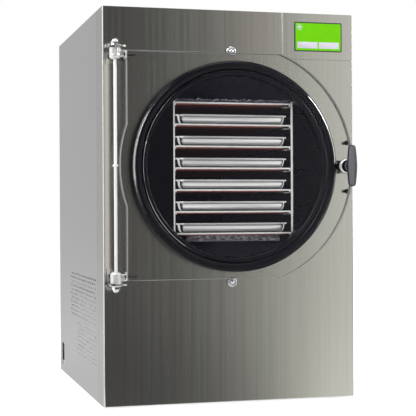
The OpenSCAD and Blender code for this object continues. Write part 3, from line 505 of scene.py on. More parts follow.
def turned(profile, centre, axis, steps, closed=True, waist=None):
    """A turned surface: each (along, radius) of the profile goes round the axis through centre
    in steps. waist(along, angle), where given, multiplies the radius, as for ribs or a hexagon."""
    along, radius = np.array(profile, float).T
    angle = np.linspace(0, 2 * math.pi, steps, endpoint=False)
    grown = radius[:, None] * np.ones(steps)
    if waist:
        grown = grown * waist(along[:, None], angle[None, :])
    reach = along[:, None] * np.ones(steps)
    one, other = grown * np.cos(angle), grown * np.sin(angle)
    order = {"y": (one, reach, other), "z": (one, other, reach)}
    return np.stack(order[axis], -1) + np.array(centre), closed, True


ring_deep = ring_high.y - ring_low.y
ring = ([(ring_deep, 0.1817), (ring_deep, 0.178)] +
        arc((0.0072, 0.1842), 0.0062, 270, 180, 7) + arc((0.0052, 0.1850), 0.0042, 180, 100, 7) +
        [(0.0048, 0.1900), (0.0026, 0.1910), (0.0008, 0.1930)] +
        arc((0.0082, 0.1996), 0.0082, 180, 90, 10) +
        [(ring_deep - 0.002, 0.2078), (ring_deep, 0.2073), (ring_deep, 0.1993), (0.0074, 0.1973),
         (0.0074, 0.1817)])
RUBBER = ((0.003, 0.003, 0.006), (0.006, 0.006, 0.010), 140)
black_rubber = finish("black_rubber", *RUBBER, (0.16, 0.24), relief=0.00001,
                      Specular_IOR_Level=0.14)
gasket = fit("gasket_ring", surface(turned(ring, (drum_x, ring_low.y, drum_z), "y", 200)),
             "black_rubber", black_rubber, "door_gasket", crease=50)


def painted_sheen(ior):
    """Painted sheen for the rubber: the higher its index, the more it shines."""
    return finish(f"rubber_painted_sheen_{ior * 100:.0f}", *RUBBER, (0.10, 0.16), relief=0.00001,
                  Specular_IOR_Level=1.0, IOR=ior)


def shine(mat, side, lean, low, high, shoulder):
    """Give another finish to the ring's faces on its right (side 1) or left (side -1) that face
    outwards, lean forward within a range, and lie between two heights over the axis, either on
    its shoulder or on its inner lip."""
    def chosen(normal, centre):
        outside = math.hypot(centre.x - drum_x, centre.z - drum_z) > GROOVE_R
        return (outside == shoulder and lean[0] < normal.y < lean[1] and side * normal.x > 0.1
                and side * (centre.x - drum_x) > 0 and low < centre.z - drum_z < high)
    recoat(gasket, mat, chosen)


SLOPING, FRONTAL, STEEP = (-0.93, -0.05), (-0.95, -0.75), (-0.75, 0.05)
# painted sheen that grows towards the middle of the left side, by steps on the shoulder and on the
# lip
faint, soft, plain, sheen_strong, sheen_stronger, sheen_strongest = (painted_sheen(i) for i in (1.22, 1.32, 1.5, 1.8, 2.2, 2.7))
for mat, low_z, high_z in ((faint, -0.092, 0.120), (soft, -0.078, 0.112), (plain, -0.064, 0.105),
                           (sheen_strong, -0.050, 0.096), (sheen_stronger, -0.038, 0.050), (sheen_strongest, -0.026, 0.044)):
    shine(mat, -1, SLOPING, low_z, high_z, True)
for mat, low_z, high_z in ((faint, -0.182, 0.130), (soft, -0.174, 0.115), (plain, -0.165, 0.100),
                           (sheen_strongest, -0.155, 0.046)):
    shine(mat, -1, SLOPING, low_z, high_z, False)
# painted shade: the outer rim of the right shoulder reflects nothing
gasket_rim_painted_shade = finish("gasket_rim_painted_shade", *RUBBER, (0.5, 0.6), Specular_IOR_Level=0.0)
shine(gasket_rim_painted_shade, 1, STEEP, -0.21, 0.21, True)
shine(plain, 1, FRONTAL, -0.120, -0.016, True)
shine(sheen_stronger, 1, FRONTAL, 0.008, 0.140, True)
shine(plain, 1, SLOPING, -0.075, 0.030, False)

# ------------ door
# A thick plate of clear cast acrylic with a round right side. Its faces are polished, and its
# cut corners are broken with a fine matt chamfer. Lamps shine through it.
acrylic = finish("clear_acrylic", (0.975, 0.985, 0.98), (0.99, 0.995, 0.99), 12, (0.0, 0.02),
                 IOR=1.49, Transmission_Weight=1.0, Specular_Tint=(0.12, 0.12, 0.14, 1))
black_oxide = finish("black_oxide", 0.045, (0.062, 0.062, 0.060), 300, (0.6, 0.8),
                     Specular_IOR_Level=0.1)


def lets_through(mat, bounces=2):
    """Put a clear shader before a finish for the rays that lamps cast, and for rays that have
    bounced more than so many times."""
    tree = mat.node_tree
    path = tree.nodes.new("ShaderNodeLightPath")
    later = tree.nodes.new("ShaderNodeMath")
    later.operation = "GREATER_THAN"
    tree.links.new(path.outputs["Ray Depth"], later.inputs[0])
    later.inputs[1].default_value = bounces + 0.5
    passing = tree.nodes.new("ShaderNodeMath")
    passing.operation = "MAXIMUM"
    tree.links.new(path.outputs["Is Shadow Ray"], passing.inputs[0])
    tree.links.new(later.outputs[0], passing.inputs[1])
    clear = tree.nodes.new("ShaderNodeBsdfTransparent")
    either = tree.nodes.new("ShaderNodeMixShader")
    tree.links.new(passing.outputs[0], either.inputs[0])
    tree.links.new(tree.nodes["Principled BSDF"].outputs["BSDF"], either.inputs[1])
    tree.links.new(clear.outputs["BSDF"], either.inputs[2])
    tree.links.new(either.outputs["Shader"], tree.nodes["Material Output"].inputs["Surface"])


def fading(mat, axis, start, stop, colour):
    """Let a finish's colour run into another along an axis of the object, from start to stop."""
    tree = mat.node_tree
    place, parts = tree.nodes.new("ShaderNodeTexCoord"), tree.nodes.new("ShaderNodeSeparateXYZ")
    tree.links.new(place.outputs["Object"], parts.inputs[0])
    recolour(mat, mixed(tree, parts.outputs[axis], 0.0, 1.0, (start, stop)), (*colour, 1))


sawn = finish("sawn_edge", (0.30, 0.305, 0.30), (0.37, 0.375, 0.37), (60, 900, 60), (0.4, 0.55),
              relief=0.00004, IOR=1.49, Transmission_Weight=0.25)
chamfer, chamfer_painted_shade = (
    finish(name, dark, pale, 900, (0.45, 0.6), relief=0.00005, IOR=1.49) for name, dark, pale in (
        ("matt_chamfer", (0.62, 0.64, 0.65), (0.74, 0.76, 0.77)),
        ("chamfer_painted_shade", (0.19, 0.195, 0.195), (0.25, 0.255, 0.25))))
for mat in (acrylic, sawn, chamfer, chamfer_painted_shade):
    lets_through(mat)
# the sawn edge is darker in the back half of its thickness
fading(sawn, "Y", door_box[0].y + 0.009, door_box[0].y + 0.016, (0.09, 0.09, 0.085))
CHAMFER = 0.0009
door = fit("clear_door", eased("door_plate", CHAMFER, 1), "clear_acrylic", acrylic, "door_plate",
           body="door", crease=20)
recoat(door, chamfer, lambda normal, centre: 0.3 < abs(normal.y) < 0.9)
# painted shade: the chamfers on the right and underneath are darker
recoat(door, chamfer_painted_shade, lambda normal, centre: 0.3 < abs(normal.y) < 0.9
       and (normal.x > 0.15 or normal.z < -0.25) and centre.x > door_box[0].x + 0.02)
# the sawn edge is all but the shaft's bore, and the bores for the knuckles' screws are dark
plate_y = (door_box[0].y + door_box[1].y) / 2
latch_low, latch_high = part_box("latch_handle")
latch_x = (latch_low.x + latch_high.x) / 2
recoat(door, sawn, lambda normal, centre: abs(normal.y) < 0.3 and abs(centre.y - plate_y) < 0.0015
       and math.hypot(centre.x - latch_x, centre.z - drum_z) > 0.02)
recoat(door, black_oxide, lambda normal, centre: 0.002 < abs(centre.y - plate_y) < 0.0105
       and centre.x < door_box[0].x + 0.035)

# ------------ hinge
# A chromed rod runs through two ribbed barrels on the door's left edge and two ears on the
# front, and a domed nut on a flared washer closes each of its ends. Screws with a dark oxide
# coat hold the barrels and the ears.
chrome = finish("chrome_plate", (0.74, 0.75, 0.77), (0.80, 0.81, 0.82), 90, (0.06, 0.12), metal=1.0)
dress(black_oxide, "hinge_screws", "mount_screws")
nuts_low, nuts_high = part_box("hinge_cap_nuts")
rod_low, rod_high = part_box("hinge_rod")
rod_x, rod_y = (nuts_low.x + nuts_high.x) / 2, (rod_low.y + rod_high.y) / 2
NUT_TALL, HEX = 0.014, 0.0080


def hexagon(along, angle):
    """The reach of a hexagon's flats by angle, between the washer and the dome, and 1 elsewhere."""
    flat = np.cos(np.pi / 6) / np.cos(np.mod(angle, np.pi / 3) - np.pi / 6)
    return np.where((along > 0.0027) & (along < 0.0079), flat / flat.max(), 1.0)


nut = ([(0.0, 0.0034), (0.0, 0.0122), (0.0005, 0.0130), (0.0011, 0.0128), (0.0018, 0.0104),
        (0.0026, 0.0088), (0.00275, HEX * 0.93), (0.0032, HEX), (0.0071, HEX),
        (0.0077, HEX * 0.94), (0.00795, 0.0066)] +
       arc((0.0080, 0.0), (0.0060, 0.0064), 86, 0, 9) + [(0.004, 0.0)])


def both_ends(profile, foot, waist=None):
    """A turned shape whose foot is so far above the rod's middle and, mirrored, one below it."""
    points, closed_u, closed_v = turned(profile, (0, 0, foot), "z", 72, True, waist)
    return [(points * (1, 1, side) + (rod_x, rod_y, drum_z), closed_u, closed_v)
            for side in (1, -1)]


fit("cap_nuts", surface(*both_ends(nut, nuts_high.z - drum_z - NUT_TALL, hexagon)), "chrome",
    chrome, "hinge_cap_nuts", crease=28)


def ribs(count, depth, start, stop):
    """Round ribs along the axis, count of them, depth deep as a share of the radius."""
    def at(along, angle):
        fade = np.clip(np.minimum(along - start, stop - along) / 0.002, 0, 1)
        return 1 - depth * fade * np.abs(np.sin(angle * count / 2)) ** 0.7
    return at


knuckles_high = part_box("hinge_knuckles")[1]
barrel_top = knuckles_high.z - drum_z
BORE_R, BARREL_R, BARREL_LONG = 0.0033, 0.0110, 0.022
barrel = ([(0.0, BORE_R), (0.0, 0.0062)] + arc((0.005, 0.0062), (0.005, 0.0048), 170, 90, 6) +
          [(BARREL_LONG - h, BARREL_R) for h in np.linspace(0.015, 0.0016, 9)] +
          [(BARREL_LONG - 0.0006, 0.0106), (BARREL_LONG, 0.0098), (BARREL_LONG, BORE_R)])


def block(low, high, ease):
    """A block of metal between two corners: a cube scaled to size, with its edges rounded."""
    shape = bmesh.new()
    low, high = Vector(low), Vector(high)
    bmesh.ops.create_cube(shape, size=1, matrix=Matrix.Translation((low + high) / 2)
                          @ Matrix.Diagonal((*(high - low), 1)))
    round_off(shape, shape.edges[:], ease, 3)
    mesh = bpy.data.meshes.new("block")
    shape.to_mesh(mesh)
    shape.free()
    return mesh


def joined(*meshes):
    """One mesh of several that needn't touch."""
    shape = bmesh.new()
    for mesh in meshes:
        shape.from_mesh(mesh)
    whole = bpy.data.meshes.new("whole")
    shape.to_mesh(whole)
    shape.free()
    return whole


# each barrel has a rounded neck and a pad that lies on the door's edge
pad_x = knuckles_high.x
arms = []
for side in (1, -1):
    for near, far, start_x, half_y, ease in ((0.0185, 0.0040, rod_x + 0.006, 0.0035, 0.0030),
                                             (0.0220, 0.0060, pad_x - 0.003, 0.0100, 0.0013)):
        ends = sorted(drum_z + side * (barrel_top - d) for d in (near, far))
        arms.append(block((start_x, rod_y - half_y, ends[0]), (pad_x, rod_y + half_y, ends[1]),
                          ease))
barrels = surface(*both_ends(barrel, barrel_top - BARREL_LONG, ribs(14, 0.07, 0.006, BARREL_LONG)))
# painted highlight: the barrels, and the latch's collar below, take a pale satin metal in place of
# chrome
cast_painted_highlight = finish("cast_painted_highlight", (0.66, 0.66, 0.65), (0.77, 0.77, 0.76), 120, (0.20, 0.30),
                     metal=0.5)
fit("hinge_barrels", joined(barrels, *arms), "chrome", cast_painted_highlight, "hinge_knuckles", body="door",
    crease=40)
ear_plate_painted_shade = finish("ear_plate_painted_shade", 0.70, (0.82, 0.82, 0.81), 120, (0.16, 0.24), metal=0.8)
# painted shade: the ears darken to the left of the rod
fading(ear_plate_painted_shade, "X", rod_x - 0.001, rod_x - 0.006, (0.17, 0.17, 0.16))
ears = steady(fit("hinge_ears", eased("hinge_mounts", 0.0006), "chrome", ear_plate_painted_shade,
                  "hinge_mounts"))
recoat(ears, brushed, lambda normal, centre: centre.y > face_y - 0.0034)
# painted highlight: the chromed rod takes a near-white finish
rod_painted_highlight = finish("rod_painted_highlight", (0.86, 0.86, 0.87), 0.95, (200, 200, 6), (0.22, 0.32), metal=0.3)
fit("hinge_bar", eased("hinge_rod", 0.0008, crease=40), "chrome", rod_painted_highlight, "hinge_rod")

# ------------ domed screws
# One large domed screw above the door and one below it hold the chamber to the front panel:
# a flange with a raised rim round a low dome. It stands out of the front towards -Y.
screws_low, screws_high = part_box("chamber_screws")
screw_x, screw_tall = (screws_low.x + screws_high.x) / 2, screws_high.y - screws_low.y
SCREW_R = 0.010
dome = ([(0.0, 0.0), (0.0, SCREW_R), (-0.0020, SCREW_R)] +
        arc((-0.0022, SCREW_R - 0.0021), (0.0026, 0.0021), 100, 260, 9) +
        [(-0.0024, 0.0056), (-0.0032, 0.0052)] +
        arc((-0.0036, 0.0), (screw_tall - 0.0036, 0.0050), 100, 180, 8))
screws = [turned(dome, (screw_x, screws_high.y, z), "y", 64)
          for z in (screws_low.z + SCREW_R, screws_high.z - SCREW_R)]
fit("domed_screws", surface(*screws), "chrome", chrome, "chamber_screws", crease=40)

# ------------ latch
# A moulded black T-handle on a ribbed hub, pinned to a chromed shaft that goes through the door.
# A bright collar sits between the hub and the door, and a nut behind the door.
latch_z = (latch_low.z + latch_high.z) / 2
half_length = (latch_high.z - latch_low.z) / 2
bar_front, hub_back = latch_low.y, latch_high.y
BAR_THICK, FLANGE, COLLAR = 0.018, 0.0008, 0.0062
END_SHARE, END_POWER, OVAL_POWER = 0.14, 2.4, 2.1


def grip_bar(rows=41, columns=40):
    """Ovals stacked from the bar's lower end to its upper one. An oval is a superellipse; it is
    widest and deepest at the middle, and the ends close on a superellipse of their own."""
    def powered(value):
        return np.sign(value) * np.abs(value) ** (2 / OVAL_POWER)
    up = np.sin(np.linspace(-0.5 * np.pi, 0.5 * np.pi, rows))[:, None]
    angle = np.linspace(0, 2 * np.pi, columns, endpoint=False)[None, :]
    into_end = np.clip((np.abs(up) - (1 - END_SHARE)) / END_SHARE, 0, 1)
    close = (1 - into_end ** END_POWER) ** (1 / END_POWER)
    width = (0.0101 - 0.0034 * np.abs(up) ** 1.7) * close
    depth = (BAR_THICK / 2 - 0.0026 * np.abs(up) ** 1.8) * close
    x = latch_x + width * powered(np.cos(angle))
    y = bar_front + BAR_THICK / 2 + depth * powered(np.sin(angle))
    return np.stack(np.broadcast_arrays(x, y, latch_z + half_length * up), -1), False, True


hub_front = bar_front + BAR_THICK - 0.004
hub_long = hub_back - COLLAR - 0.0006 - hub_front
hub = [(0.0, 0.0), (0.0, 0.0098)]
for rib in np.linspace(0.0035, hub_long - 0.0040, 4):
    hub += [(rib, 0.0100), (rib + 0.0008, 0.0116), (rib + 0.0026, 0.0120), (rib + 0.0034, 0.0106)]
hub += [(hub_long, 0.0106), (hub_long, 0.0)]
flange = [(0.0, 0.0), (0.0, 0.0150), (FLANGE, 0.0148), (FLANGE, 0.0)]
collar = [(0.0, 0.0), (0.0, 0.0112), (0.0010, 0.0128), (0.0019, 0.0128), (0.0028, 0.0141),
          (COLLAR - 0.0006, 0.0145), (COLLAR, 0.0140), (COLLAR, 0.0)]


def on_axle(profile, front):
    """A shape turned about the shaft, from its front backwards."""
    return turned(profile, (latch_x, front, latch_z), "y", 64)


# painted sheen and shade: the handle is lighter where it faces the eye, dark at its outline, and
# darker towards its right side
handle_plastic_painted_shade = finish("handle_plastic_painted_shade", 0.85, 1.0, 700, (0.32, 0.42), relief=0.00004,
                        Specular_IOR_Level=0.35)
tree = handle_plastic_painted_shade.node_tree
recolour(handle_plastic_painted_shade, 1.0,
         shades_of(tree, tree.nodes.new("ShaderNodeLayerWeight").outputs["Facing"],
                   [(0.02, (0.150, 0.142, 0.160)), (0.12, (0.120, 0.114, 0.132)),
                    (0.30, (0.042, 0.040, 0.049)), (0.6, (0.008, 0.008, 0.010))]), "MULTIPLY")
fading(handle_plastic_painted_shade, "X", latch_x + 0.0010, latch_x + 0.0090, (0.012, 0.012, 0.015))
grip = fit("t_handle", surface(grip_bar(), on_axle(hub, hub_front),
                               on_axle(flange, hub_back - FLANGE)),
           "black_plastic", handle_plastic_painted_shade, "latch_handle", body="latch", crease=45)
dress(chrome, "latch_shaft", "latch_nut")
dress(brushed, "latch_receiver")
recoat(grip, black_rubber, lambda normal, centre: centre.y > bar_front + BAR_THICK)
# painted highlight: the collar takes the barrels' pale metal
fit("latch_collar", surface(on_axle(collar, hub_back - FLANGE - COLLAR)), "chrome", cast_painted_highlight,
    body="latch", crease=30)

# ------------ door stops
# Two black rubber pegs above and below the latch, which the door's edge closes between. Each is
# a cone with a round tip, on a flange that rests on the front panel.
pegs_low, pegs_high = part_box("door_stops")
peg_tall, PEG_R = pegs_high.y - pegs_low.y, 0.0049
peg = ([(0.0, 0.0), (0.0, PEG_R), (-0.0014, PEG_R), (-0.0020, 0.0043), (-0.0022, 0.0034)] +
       arc((0.0022 - peg_tall, 0.0012), 0.0022, 90, 180, 7) + [(-peg_tall, 0.0)])
pegs = [turned(peg, (pegs_low.x + PEG_R, pegs_high.y, z), "y", 40)
        for z in (pegs_low.z + PEG_R, pegs_high.z - PEG_R)]
fit("stop_pegs", surface(*pegs), "black_rubber", black_rubber, "door_stops", crease=40)

# ------------ rack
# Two side plates and seven shelves of stainless sheet, polished, and welded at the corners; their
# front edges and weld beads take a painted highlight, and their steel a faint painted glow. A red
# silicone heater mat is stuck under each shelf, darkened by painted shade away from its front edge
# and faintly glowing as painted light.
# Two sleeved leads run to each at the right.
# painted light: the rack's steel glows faintly
rack_steel_painted_glow = finish("rack_steel_painted_glow", (0.16, 0.16, 0.17), (0.24, 0.24, 0.25), (20, 160, 160),
                    (0.18, 0.30), metal=1.0, **aglow((0.0055, 0.0053, 0.0070)))
plate_low, plate_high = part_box("rack_side_left")
PLATE_ROUND, BEAD_ASIDE, BEAD_BACK, BEAD_DOWN = 0.006, 0.0012, 0.0025, 0.0042


def front_top(edge):
    """True for the edge across a side plate between its front and its top."""
    return all(abs(end.co.y - plate_low.y) < 1e-5 and abs(end.co.z - plate_high.z) < 1e-5
               for end in edge.verts)


for node in ("rack_side_left", "rack_side_right"):
    plate = steady(fit(node + "_sheet", eased(node, 0.0011, 3, ((PLATE_ROUND, front_top),)),
                       "stainless_bright", rack_steel_painted_glow, node))
    recoat(plate, painted_highlight_edge, lambda normal, centre: normal.y < -0.97)
right_plate_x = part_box("rack_side_right")[0].x
bead = arc((0, 0), (0.0026, 0.0018), 180, 0, 7)
beads = []
for i in range(1, 8):
    node = f"shelf_{i}"
    sheet = steady(fit(node + "_sheet", eased(node, 0.0004), "stainless_bright", rack_steel_painted_glow, node))
    recoat(sheet, painted_highlight_edge, lambda normal, centre: normal.y < -0.85)
    bead_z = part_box(node)[1].z - BEAD_DOWN
    beads += [turned(bead, (x, plate_low.y + BEAD_BACK, bead_z), "z", 12, False)
              for x in (plate_high.x + BEAD_ASIDE, right_plate_x - BEAD_ASIDE)]
fit("weld_beads", surface(*beads), "stainless_bright", painted_highlight_edge)
mats_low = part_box("heater_mats")[0]
mat_face_painted_shade = finish("heater_silicone", (0.22, 0.066, 0.050), (0.30, 0.090, 0.068), 300, (0.45, 0.6),
                  relief=0.0001, **aglow((0.0080, 0.0062, 0.0072)))
# painted shade: the mat darkens from its front edge inwards
fading(mat_face_painted_shade, "Y", mats_low.y + 0.008, mats_low.y + 0.110, (0.045, 0.013, 0.011))
mat_rim = finish("heater_rim", (0.24, 0.070, 0.052), (0.33, 0.100, 0.075), 300, (0.45, 0.6),
                 relief=0.0001)
mats = steady(fit("heater_pads", eased("heater_mats", 0.0003, 1), "heater_silicone", mat_face_painted_shade,
                  "heater_mats"))
recoat(mats, mat_rim, lambda normal, centre: normal.y < -0.3)
sleeve = finish("lead_sleeve", (0.85, 0.83, 0.78), 0.0, 420, (0.3, 0.5))
fading(sleeve, "X", right_plate_x - 0.008, right_plate_x - 0.014, (0.01, 0.01, 0.01))
dress(sleeve, "heater_leads")

# ------------ foil
# Crumpled aluminium foil lies on the top shelf, and a thicker blanket of it hangs under the
# bottom one.
foil_low, foil_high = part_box("foil_blankets")
TOP_THICK, TOP_RISE = 0.003, 0.0056        # the top foil, and how far its folds stand over it
ROLL_HALF, HANG = 0.097, 0.0036            # the bottom one's half width, and how far it hangs
CELL, THIN = 0.0022, 0.0002
# painted light: the foil glows faintly
foil = finish("foil", (0.26, 0.25, 0.29), (0.98, 0.98, 1.0), 220, (0.14, 0.28), metal=0.5,
              **aglow((0.020, 0.019, 0.026)))
chance = np.random.default_rng(7)


def folds_at(x, y):
    """Folds from 0 to 1: a sum of the sharp crests of sines that cross at chance angles."""
    folds = np.zeros_like(x)
    for pitch, share in ((0.034, 1.0), (0.019, 0.7), (0.011, 0.5), (0.007, 0.35)):
        for slant in chance.uniform(0, np.pi, 3):
            phase = (x * np.cos(slant) + y * np.sin(slant)) * 2 * np.pi / pitch
            folds += share * np.abs(np.sin(phase + chance.uniform(0, 6.3)
                                           + 0.8 * np.sin(y * 90 + 7 * slant)))
    return (folds - folds.min()) / (folds.max() - folds.min())


def grid_over(across, along):
    """The x and y of a grid of square cells over an oblong."""
    return np.meshgrid(np.arange(across[0], across[1] + CELL / 2, CELL),
                       np.arange(along[0], along[1] + CELL / 2, CELL), indexing="ij")


def crumpled(across, along, floor_z, roof_z):
    """Two sheets that close at their rims, whose height follows the folds from floor_z to
    roof_z."""
    x, y = grid_over(across, along)
    upper = floor_z + THIN + (roof_z - floor_z - THIN) * folds_at(x, y)
    rim = np.minimum.reduce([x - across[0], across[1] - x, y - along[0], along[1] - y])
    lower = upper - np.where(rim > CELL / 2, THIN, 0)
    return ((np.stack([x, y, upper], -1), False, False),
            (np.stack([x, y, lower], -1)[::-1], False, False))


def blanket(across, along, floor_z, roof_z, dent=0.0022):
    """A flat bag: a sheet with folds under roof_z, one over floor_z, and between their rims a
    wall that bulges inwards by folds of its own."""
    x, y = grid_over(across, along)
    above = roof_z - 0.0012 * folds_at(x, y)
    below = floor_z + 0.0008 * folds_at(x, y)
    last_i, last_j = x.shape[0] - 1, x.shape[1] - 1
    i = np.concatenate([np.arange(last_i), np.full(last_j, last_i), np.arange(last_i, 0, -1),
                        np.zeros(last_j, int)])
    j = np.concatenate([np.zeros(last_i, int), np.arange(last_j), np.full(last_i, last_j),
                        np.arange(last_j, 0, -1)])
    rise = np.linspace(0, 1, 7)[:, None]
    wall_z = below[i, j] + (above[i, j] - below[i, j]) * rise
    inward = dent * np.sin(np.pi * rise) * folds_at(x[i, j] + y[i, j] + 0 * rise, wall_z * 2.0)
    wall_x = x[i, j] + inward * (1.0 * (i == 0) - (i == last_i))
    wall_y = y[i, j] + inward * (1.0 * (j == 0) - (j == last_j))
    return ((np.stack([x, y, above], -1), False, False),
            (np.stack([x, y, below], -1)[::-1], False, False),
            (np.stack([wall_x, wall_y, wall_z], -1), False, True))


depth = (foil_low.y, foil_high.y)
sheets = crumpled((foil_low.x, foil_high.x), depth, foil_high.z - TOP_THICK,
                  foil_high.z + TOP_RISE)
rolls = blanket((drum_x - ROLL_HALF, drum_x + ROLL_HALF), depth, foil_low.z - HANG, mats_low.z)
wrap = fit("foil_wrap", surface(*sheets, *rolls), "foil", foil, "foil_blankets", crease=25)
# painted shade: the sides of the blanket under the bottom shelf are darker
foil_painted_shade = finish("foil_painted_shade", (0.022, 0.020, 0.027), (0.20, 0.19, 0.22), (140, 140, 320),
                   (0.2, 0.34), metal=0.6)
recoat(wrap, foil_painted_shade, lambda normal, centre: centre.z < mats_low.z and abs(normal.z) < 0.9)

# ------------ trays
# Six trays pressed from thin stainless sheet, with round corners, sloping walls and a rolled
# rim. Each lies loose on its shelf. Painted highlights brighten its rim and its front corners,
# which also glow, and painted shade greys the rim's front and draws dark lines under it.
tray_steel = finish("tray_steel", (0.58, 0.58, 0.59), (1.0, 1.0, 0.99), (7, 20, 420), (0.12, 0.18),
                    metal=0.6)
# painted shade on the rim's front, a painted highlight on the rest of the rim, and a glowing
# painted glint at the corners
rim_front_painted_shade = finish("rim_front_painted_shade", 0.36, 0.62, (9, 60, 60), (0.25, 0.35), metal=0.2)
rim_painted_highlight = finish("rim_painted_highlight", 0.93, 1.0, 60, (0.20, 0.28), metal=0.3)
corner_painted_glint = finish("corner_painted_glint", 0.93, 1.0, 60, (0.20, 0.28), metal=0.3,
                      **aglow((1, 0.99, 1), 0.50))
GAUGE, CORNER_R = 0.0008, 0.0170
RIM, NECK, FRONT = 0.0030, 0.0052, 0.03        # the rim's and its neck's depth; the front's reach


def rounded_oblong(half_x, half_y, corner, steps=10):
    """Points round an oblong with quarter-circle corners, anticlockwise."""
    points = []
    for quarter, (sx, sy) in enumerate(((1, 1), (-1, 1), (-1, -1), (1, -1))):
        centre = (sx * (half_x - corner), sy * (half_y - corner))
        points += arc(centre, corner, 90 * quarter, 90 * quarter + 90, steps)
    return np.array(points)


def tray_shell(low, high):
    """Rings of a rounded oblong, one for each (inset, height) of a section: under the curled rim,
    over it, down the sloping wall, round the heel, to the floor, and back along the underside."""
    outside = [(0.0022, -0.0026), (0.0008, -0.0028), (0.0002, -0.0022), (0.0, -0.0013),
               (0.0003, -0.0005), (0.0010, -0.0001), (0.0018, 0.0), (0.0034, -0.0002),
               (0.0042, -0.0006), (0.0047, -0.0014)]
    deep = -(high.z - low.z)
    heel = [(0.0058, deep + 0.0110), (0.0066, deep + 0.0082), (0.0079, deep + 0.0052),
            (0.0098, deep + 0.0030), (0.0124, deep + 0.0016), (0.0160, deep + GAUGE),
            (0.0600, deep + GAUGE), (0.1130, deep + GAUGE)]
    under = [(0.1130, deep), (0.0600, deep), (0.0160, deep), (0.0120, deep + 0.0007),
             (0.0090, deep + 0.0024), (0.0071, deep + 0.0046), (0.0058, deep + 0.0078),
             (0.0050, deep + 0.0110), (0.0047, -0.0054), (0.0042, -0.0034), (0.0034, -0.0014),
             (0.0022, -0.0010), (0.0013, -0.0013), (0.0012, -0.0019), (0.0022, -0.0021)]
    half_x, half_y = (high.x - low.x) / 2, (high.y - low.y) / 2
    rings = []
    for inset, height in outside + heel + under:
        outline = rounded_oblong(half_x - inset, half_y - inset, max(CORNER_R - inset, 0.0012))
        rings.append(np.column_stack([outline, np.full(len(outline), height)]))
    centre = ((low.x + high.x) / 2, (low.y + high.y) / 2, high.z)
    return np.array(rings) + centre, True, True


def sideways(normal):
    """How far a wall faces right, from -1 to 1, whatever its slope."""
    return normal.x / max(math.hypot(normal.x, normal.y), 1e-6)


for i in range(1, 7):
    tray_low, tray_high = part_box(f"tray_{i}")
    pan = fit(f"tray_pan_{i}", surface(tray_shell(tray_low, tray_high)), "tray_steel", tray_steel,
              f"tray_{i}", crease=40)
    rim_z, neck_z, fore_y = tray_high.z - RIM, tray_high.z - NECK, tray_low.y + FRONT
    recoat(pan, rim_painted_highlight, lambda normal, centre: centre.z > rim_z)
    recoat(pan, rim_front_painted_shade, lambda normal, centre: centre.z > rim_z and abs(sideways(normal)) < 0.12)
    recoat(pan, corner_painted_glint, lambda normal, centre: normal.y < 0 and centre.y < fore_y
           and (-0.995 < sideways(normal) < -0.72 or 0.62 < sideways(normal) < 0.99))
    # painted shade: a dark line under the rim, and one beside each corner, in the rack's steel
    recoat(pan, rack_steel_painted_glow, lambda normal, centre: normal.y < 0 and centre.y < fore_y and (
        neck_z < centre.z < rim_z and abs(sideways(normal)) < 0.62
        or centre.z < rim_z and (-0.72 < sideways(normal) < -0.42
                                 or 0.48 < sideways(normal) < 0.62)))

# ------------ touch panel
# A colour touch screen in a thin black frame. It shows a green page with a round blank mark
# and two blank buttons.
black_plastic = finish("black_plastic", (0.012, 0.012, 0.016), (0.022, 0.022, 0.028), 300,
                       (0.35, 0.5), relief=0.00003)
steady(fit("screen_frame", eased("display_bezel", 0.0003), "black_plastic", black_plastic,
           "display_bezel"))


def lit(name, dark, pale, glow, strength):
    """A lit part of the screen: a smooth face under clear film that also glows a little."""
    return finish(name, dark, pale, 40, (0.18, 0.24), detail=1.0, Specular_IOR_Level=0.08,
                  **aglow(glow, strength))


page_green = lit("page_green", (0.125, 0.49, 0.003), (0.14, 0.53, 0.004), (0.16, 0.60, 0.004),
                 0.22)
dress(page_green, "touch_screen")
button_white = lit("button_white", (0.58, 0.565, 0.63), (0.63, 0.615, 0.68), (0.75, 0.73, 0.80),
                   0.14)
page_low, page_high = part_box("touch_screen")
RAISED = 0.00012
SIDE_GAP, FOOT_GAP, MID_GAP = 0.0040, 0.0042, 0.0030
BUTTON_TALL, BUTTON_CORNER = 0.0128, 0.0008


def tile(x0, x1, z0, z1):
    """A thin plate with round corners on the page: an outline, its eased rim and its back."""
    half_x, half_z = (x1 - x0) / 2, (z1 - z0) / 2
    outline = rounded_oblong(half_x, half_z, BUTTON_CORNER, 6)
    inner = rounded_oblong(half_x - RAISED, half_z - RAISED, BUTTON_CORNER - RAISED, 6)
    rings = [np.stack([(x0 + x1) / 2 + loop[:, 0], np.full(len(loop), page_low.y + share * RAISED),
                       (z0 + z1) / 2 + loop[:, 1]], -1)
             for loop, share in ((outline * 0, 1), (outline, 1), (outline, -0.5), (inner, -1),
                                 (inner * 0, -1))]
    return np.array(rings), False, True


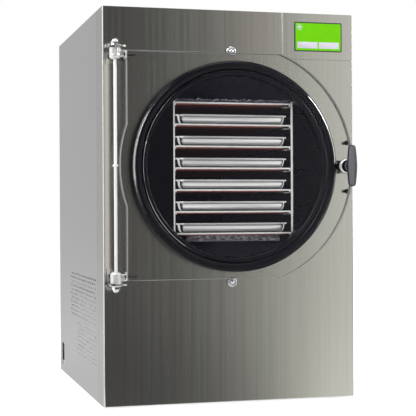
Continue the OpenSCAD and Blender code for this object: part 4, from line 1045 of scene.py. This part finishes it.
middle = (page_low.x + page_high.x) / 2
button_z = page_low.z + FOOT_GAP
buttons = [tile(x0, x1, button_z, button_z + BUTTON_TALL)
           for x0, x1 in ((page_low.x + SIDE_GAP, middle - MID_GAP / 2),
                          (middle + MID_GAP / 2, page_high.x - SIDE_GAP))]
fit("screen_buttons", surface(*buttons), "screen", button_white, crease=60)

# a round blank mark: a disc in a thin ring
mark = (page_low.x + 0.0085, page_low.y, page_high.z - 0.0085)
circlet = [(RAISED, 0.0062), (-RAISED, 0.0061), (-RAISED, 0.0054), (RAISED, 0.0053)]
disc = [(RAISED, 0.0), (RAISED, 0.0032), (-RAISED, 0.0030), (-RAISED, 0.0)]
fit("screen_mark", surface(turned(circlet, mark, "y", 48), turned(disc, mark, "y", 40)), "screen",
    button_white, crease=60)
board = finish("circuit_board", (0.01, 0.09, 0.03), (0.02, 0.16, 0.06), 250, (0.35, 0.5))
dress(board, "control_board")

# ------------ refrigeration and back
# Under the chamber, a hermetic compressor in black paint feeds a finned condenser through copper
# lines, and a plastic fan in a painted shroud cools it. The back holds the vacuum port, the mains
# inlet and a red rocker switch, and the drain tube runs to the left side.
paint = finish("black_paint", (0.010, 0.010, 0.011), (0.020, 0.020, 0.021), 400, (0.25, 0.35),
               relief=0.00008)
# painted light: the condenser's fins glow faintly
coil_fins_painted_glow = finish("coil_fins_painted_glow", (0.60, 0.62, 0.63), (0.82, 0.83, 0.84), (30, 600, 30), (0.5, 0.7),
                   **aglow((0.9, 0.93, 0.95), 0.16))
clear_tube = finish("clear_tube", (0.80, 0.82, 0.80), (0.88, 0.9, 0.88), 60, (0.15, 0.3),
                    Transmission_Weight=0.6, IOR=1.45)
switch_red = finish("switch_red", (0.45, 0.01, 0.01), (0.58, 0.02, 0.015), 300, (0.25, 0.35))
dress(paint, "compressor", "fan_shroud")
dress(coil_fins_painted_glow, "condenser_coil")
dress(zinc, "fan_motor")
dress(copper, "refrigerant_lines")
# painted light: the shaft and the port take the rack's faintly glowing steel
dress(rack_steel_painted_glow, "fan_shaft", "vacuum_port")
dress(black_plastic, "fan_blades", "power_inlet", "switch_housing")
dress(clear_tube, "drain_tube")
dress(switch_red, "power_switch")
dress(chrome, "panel_screws")
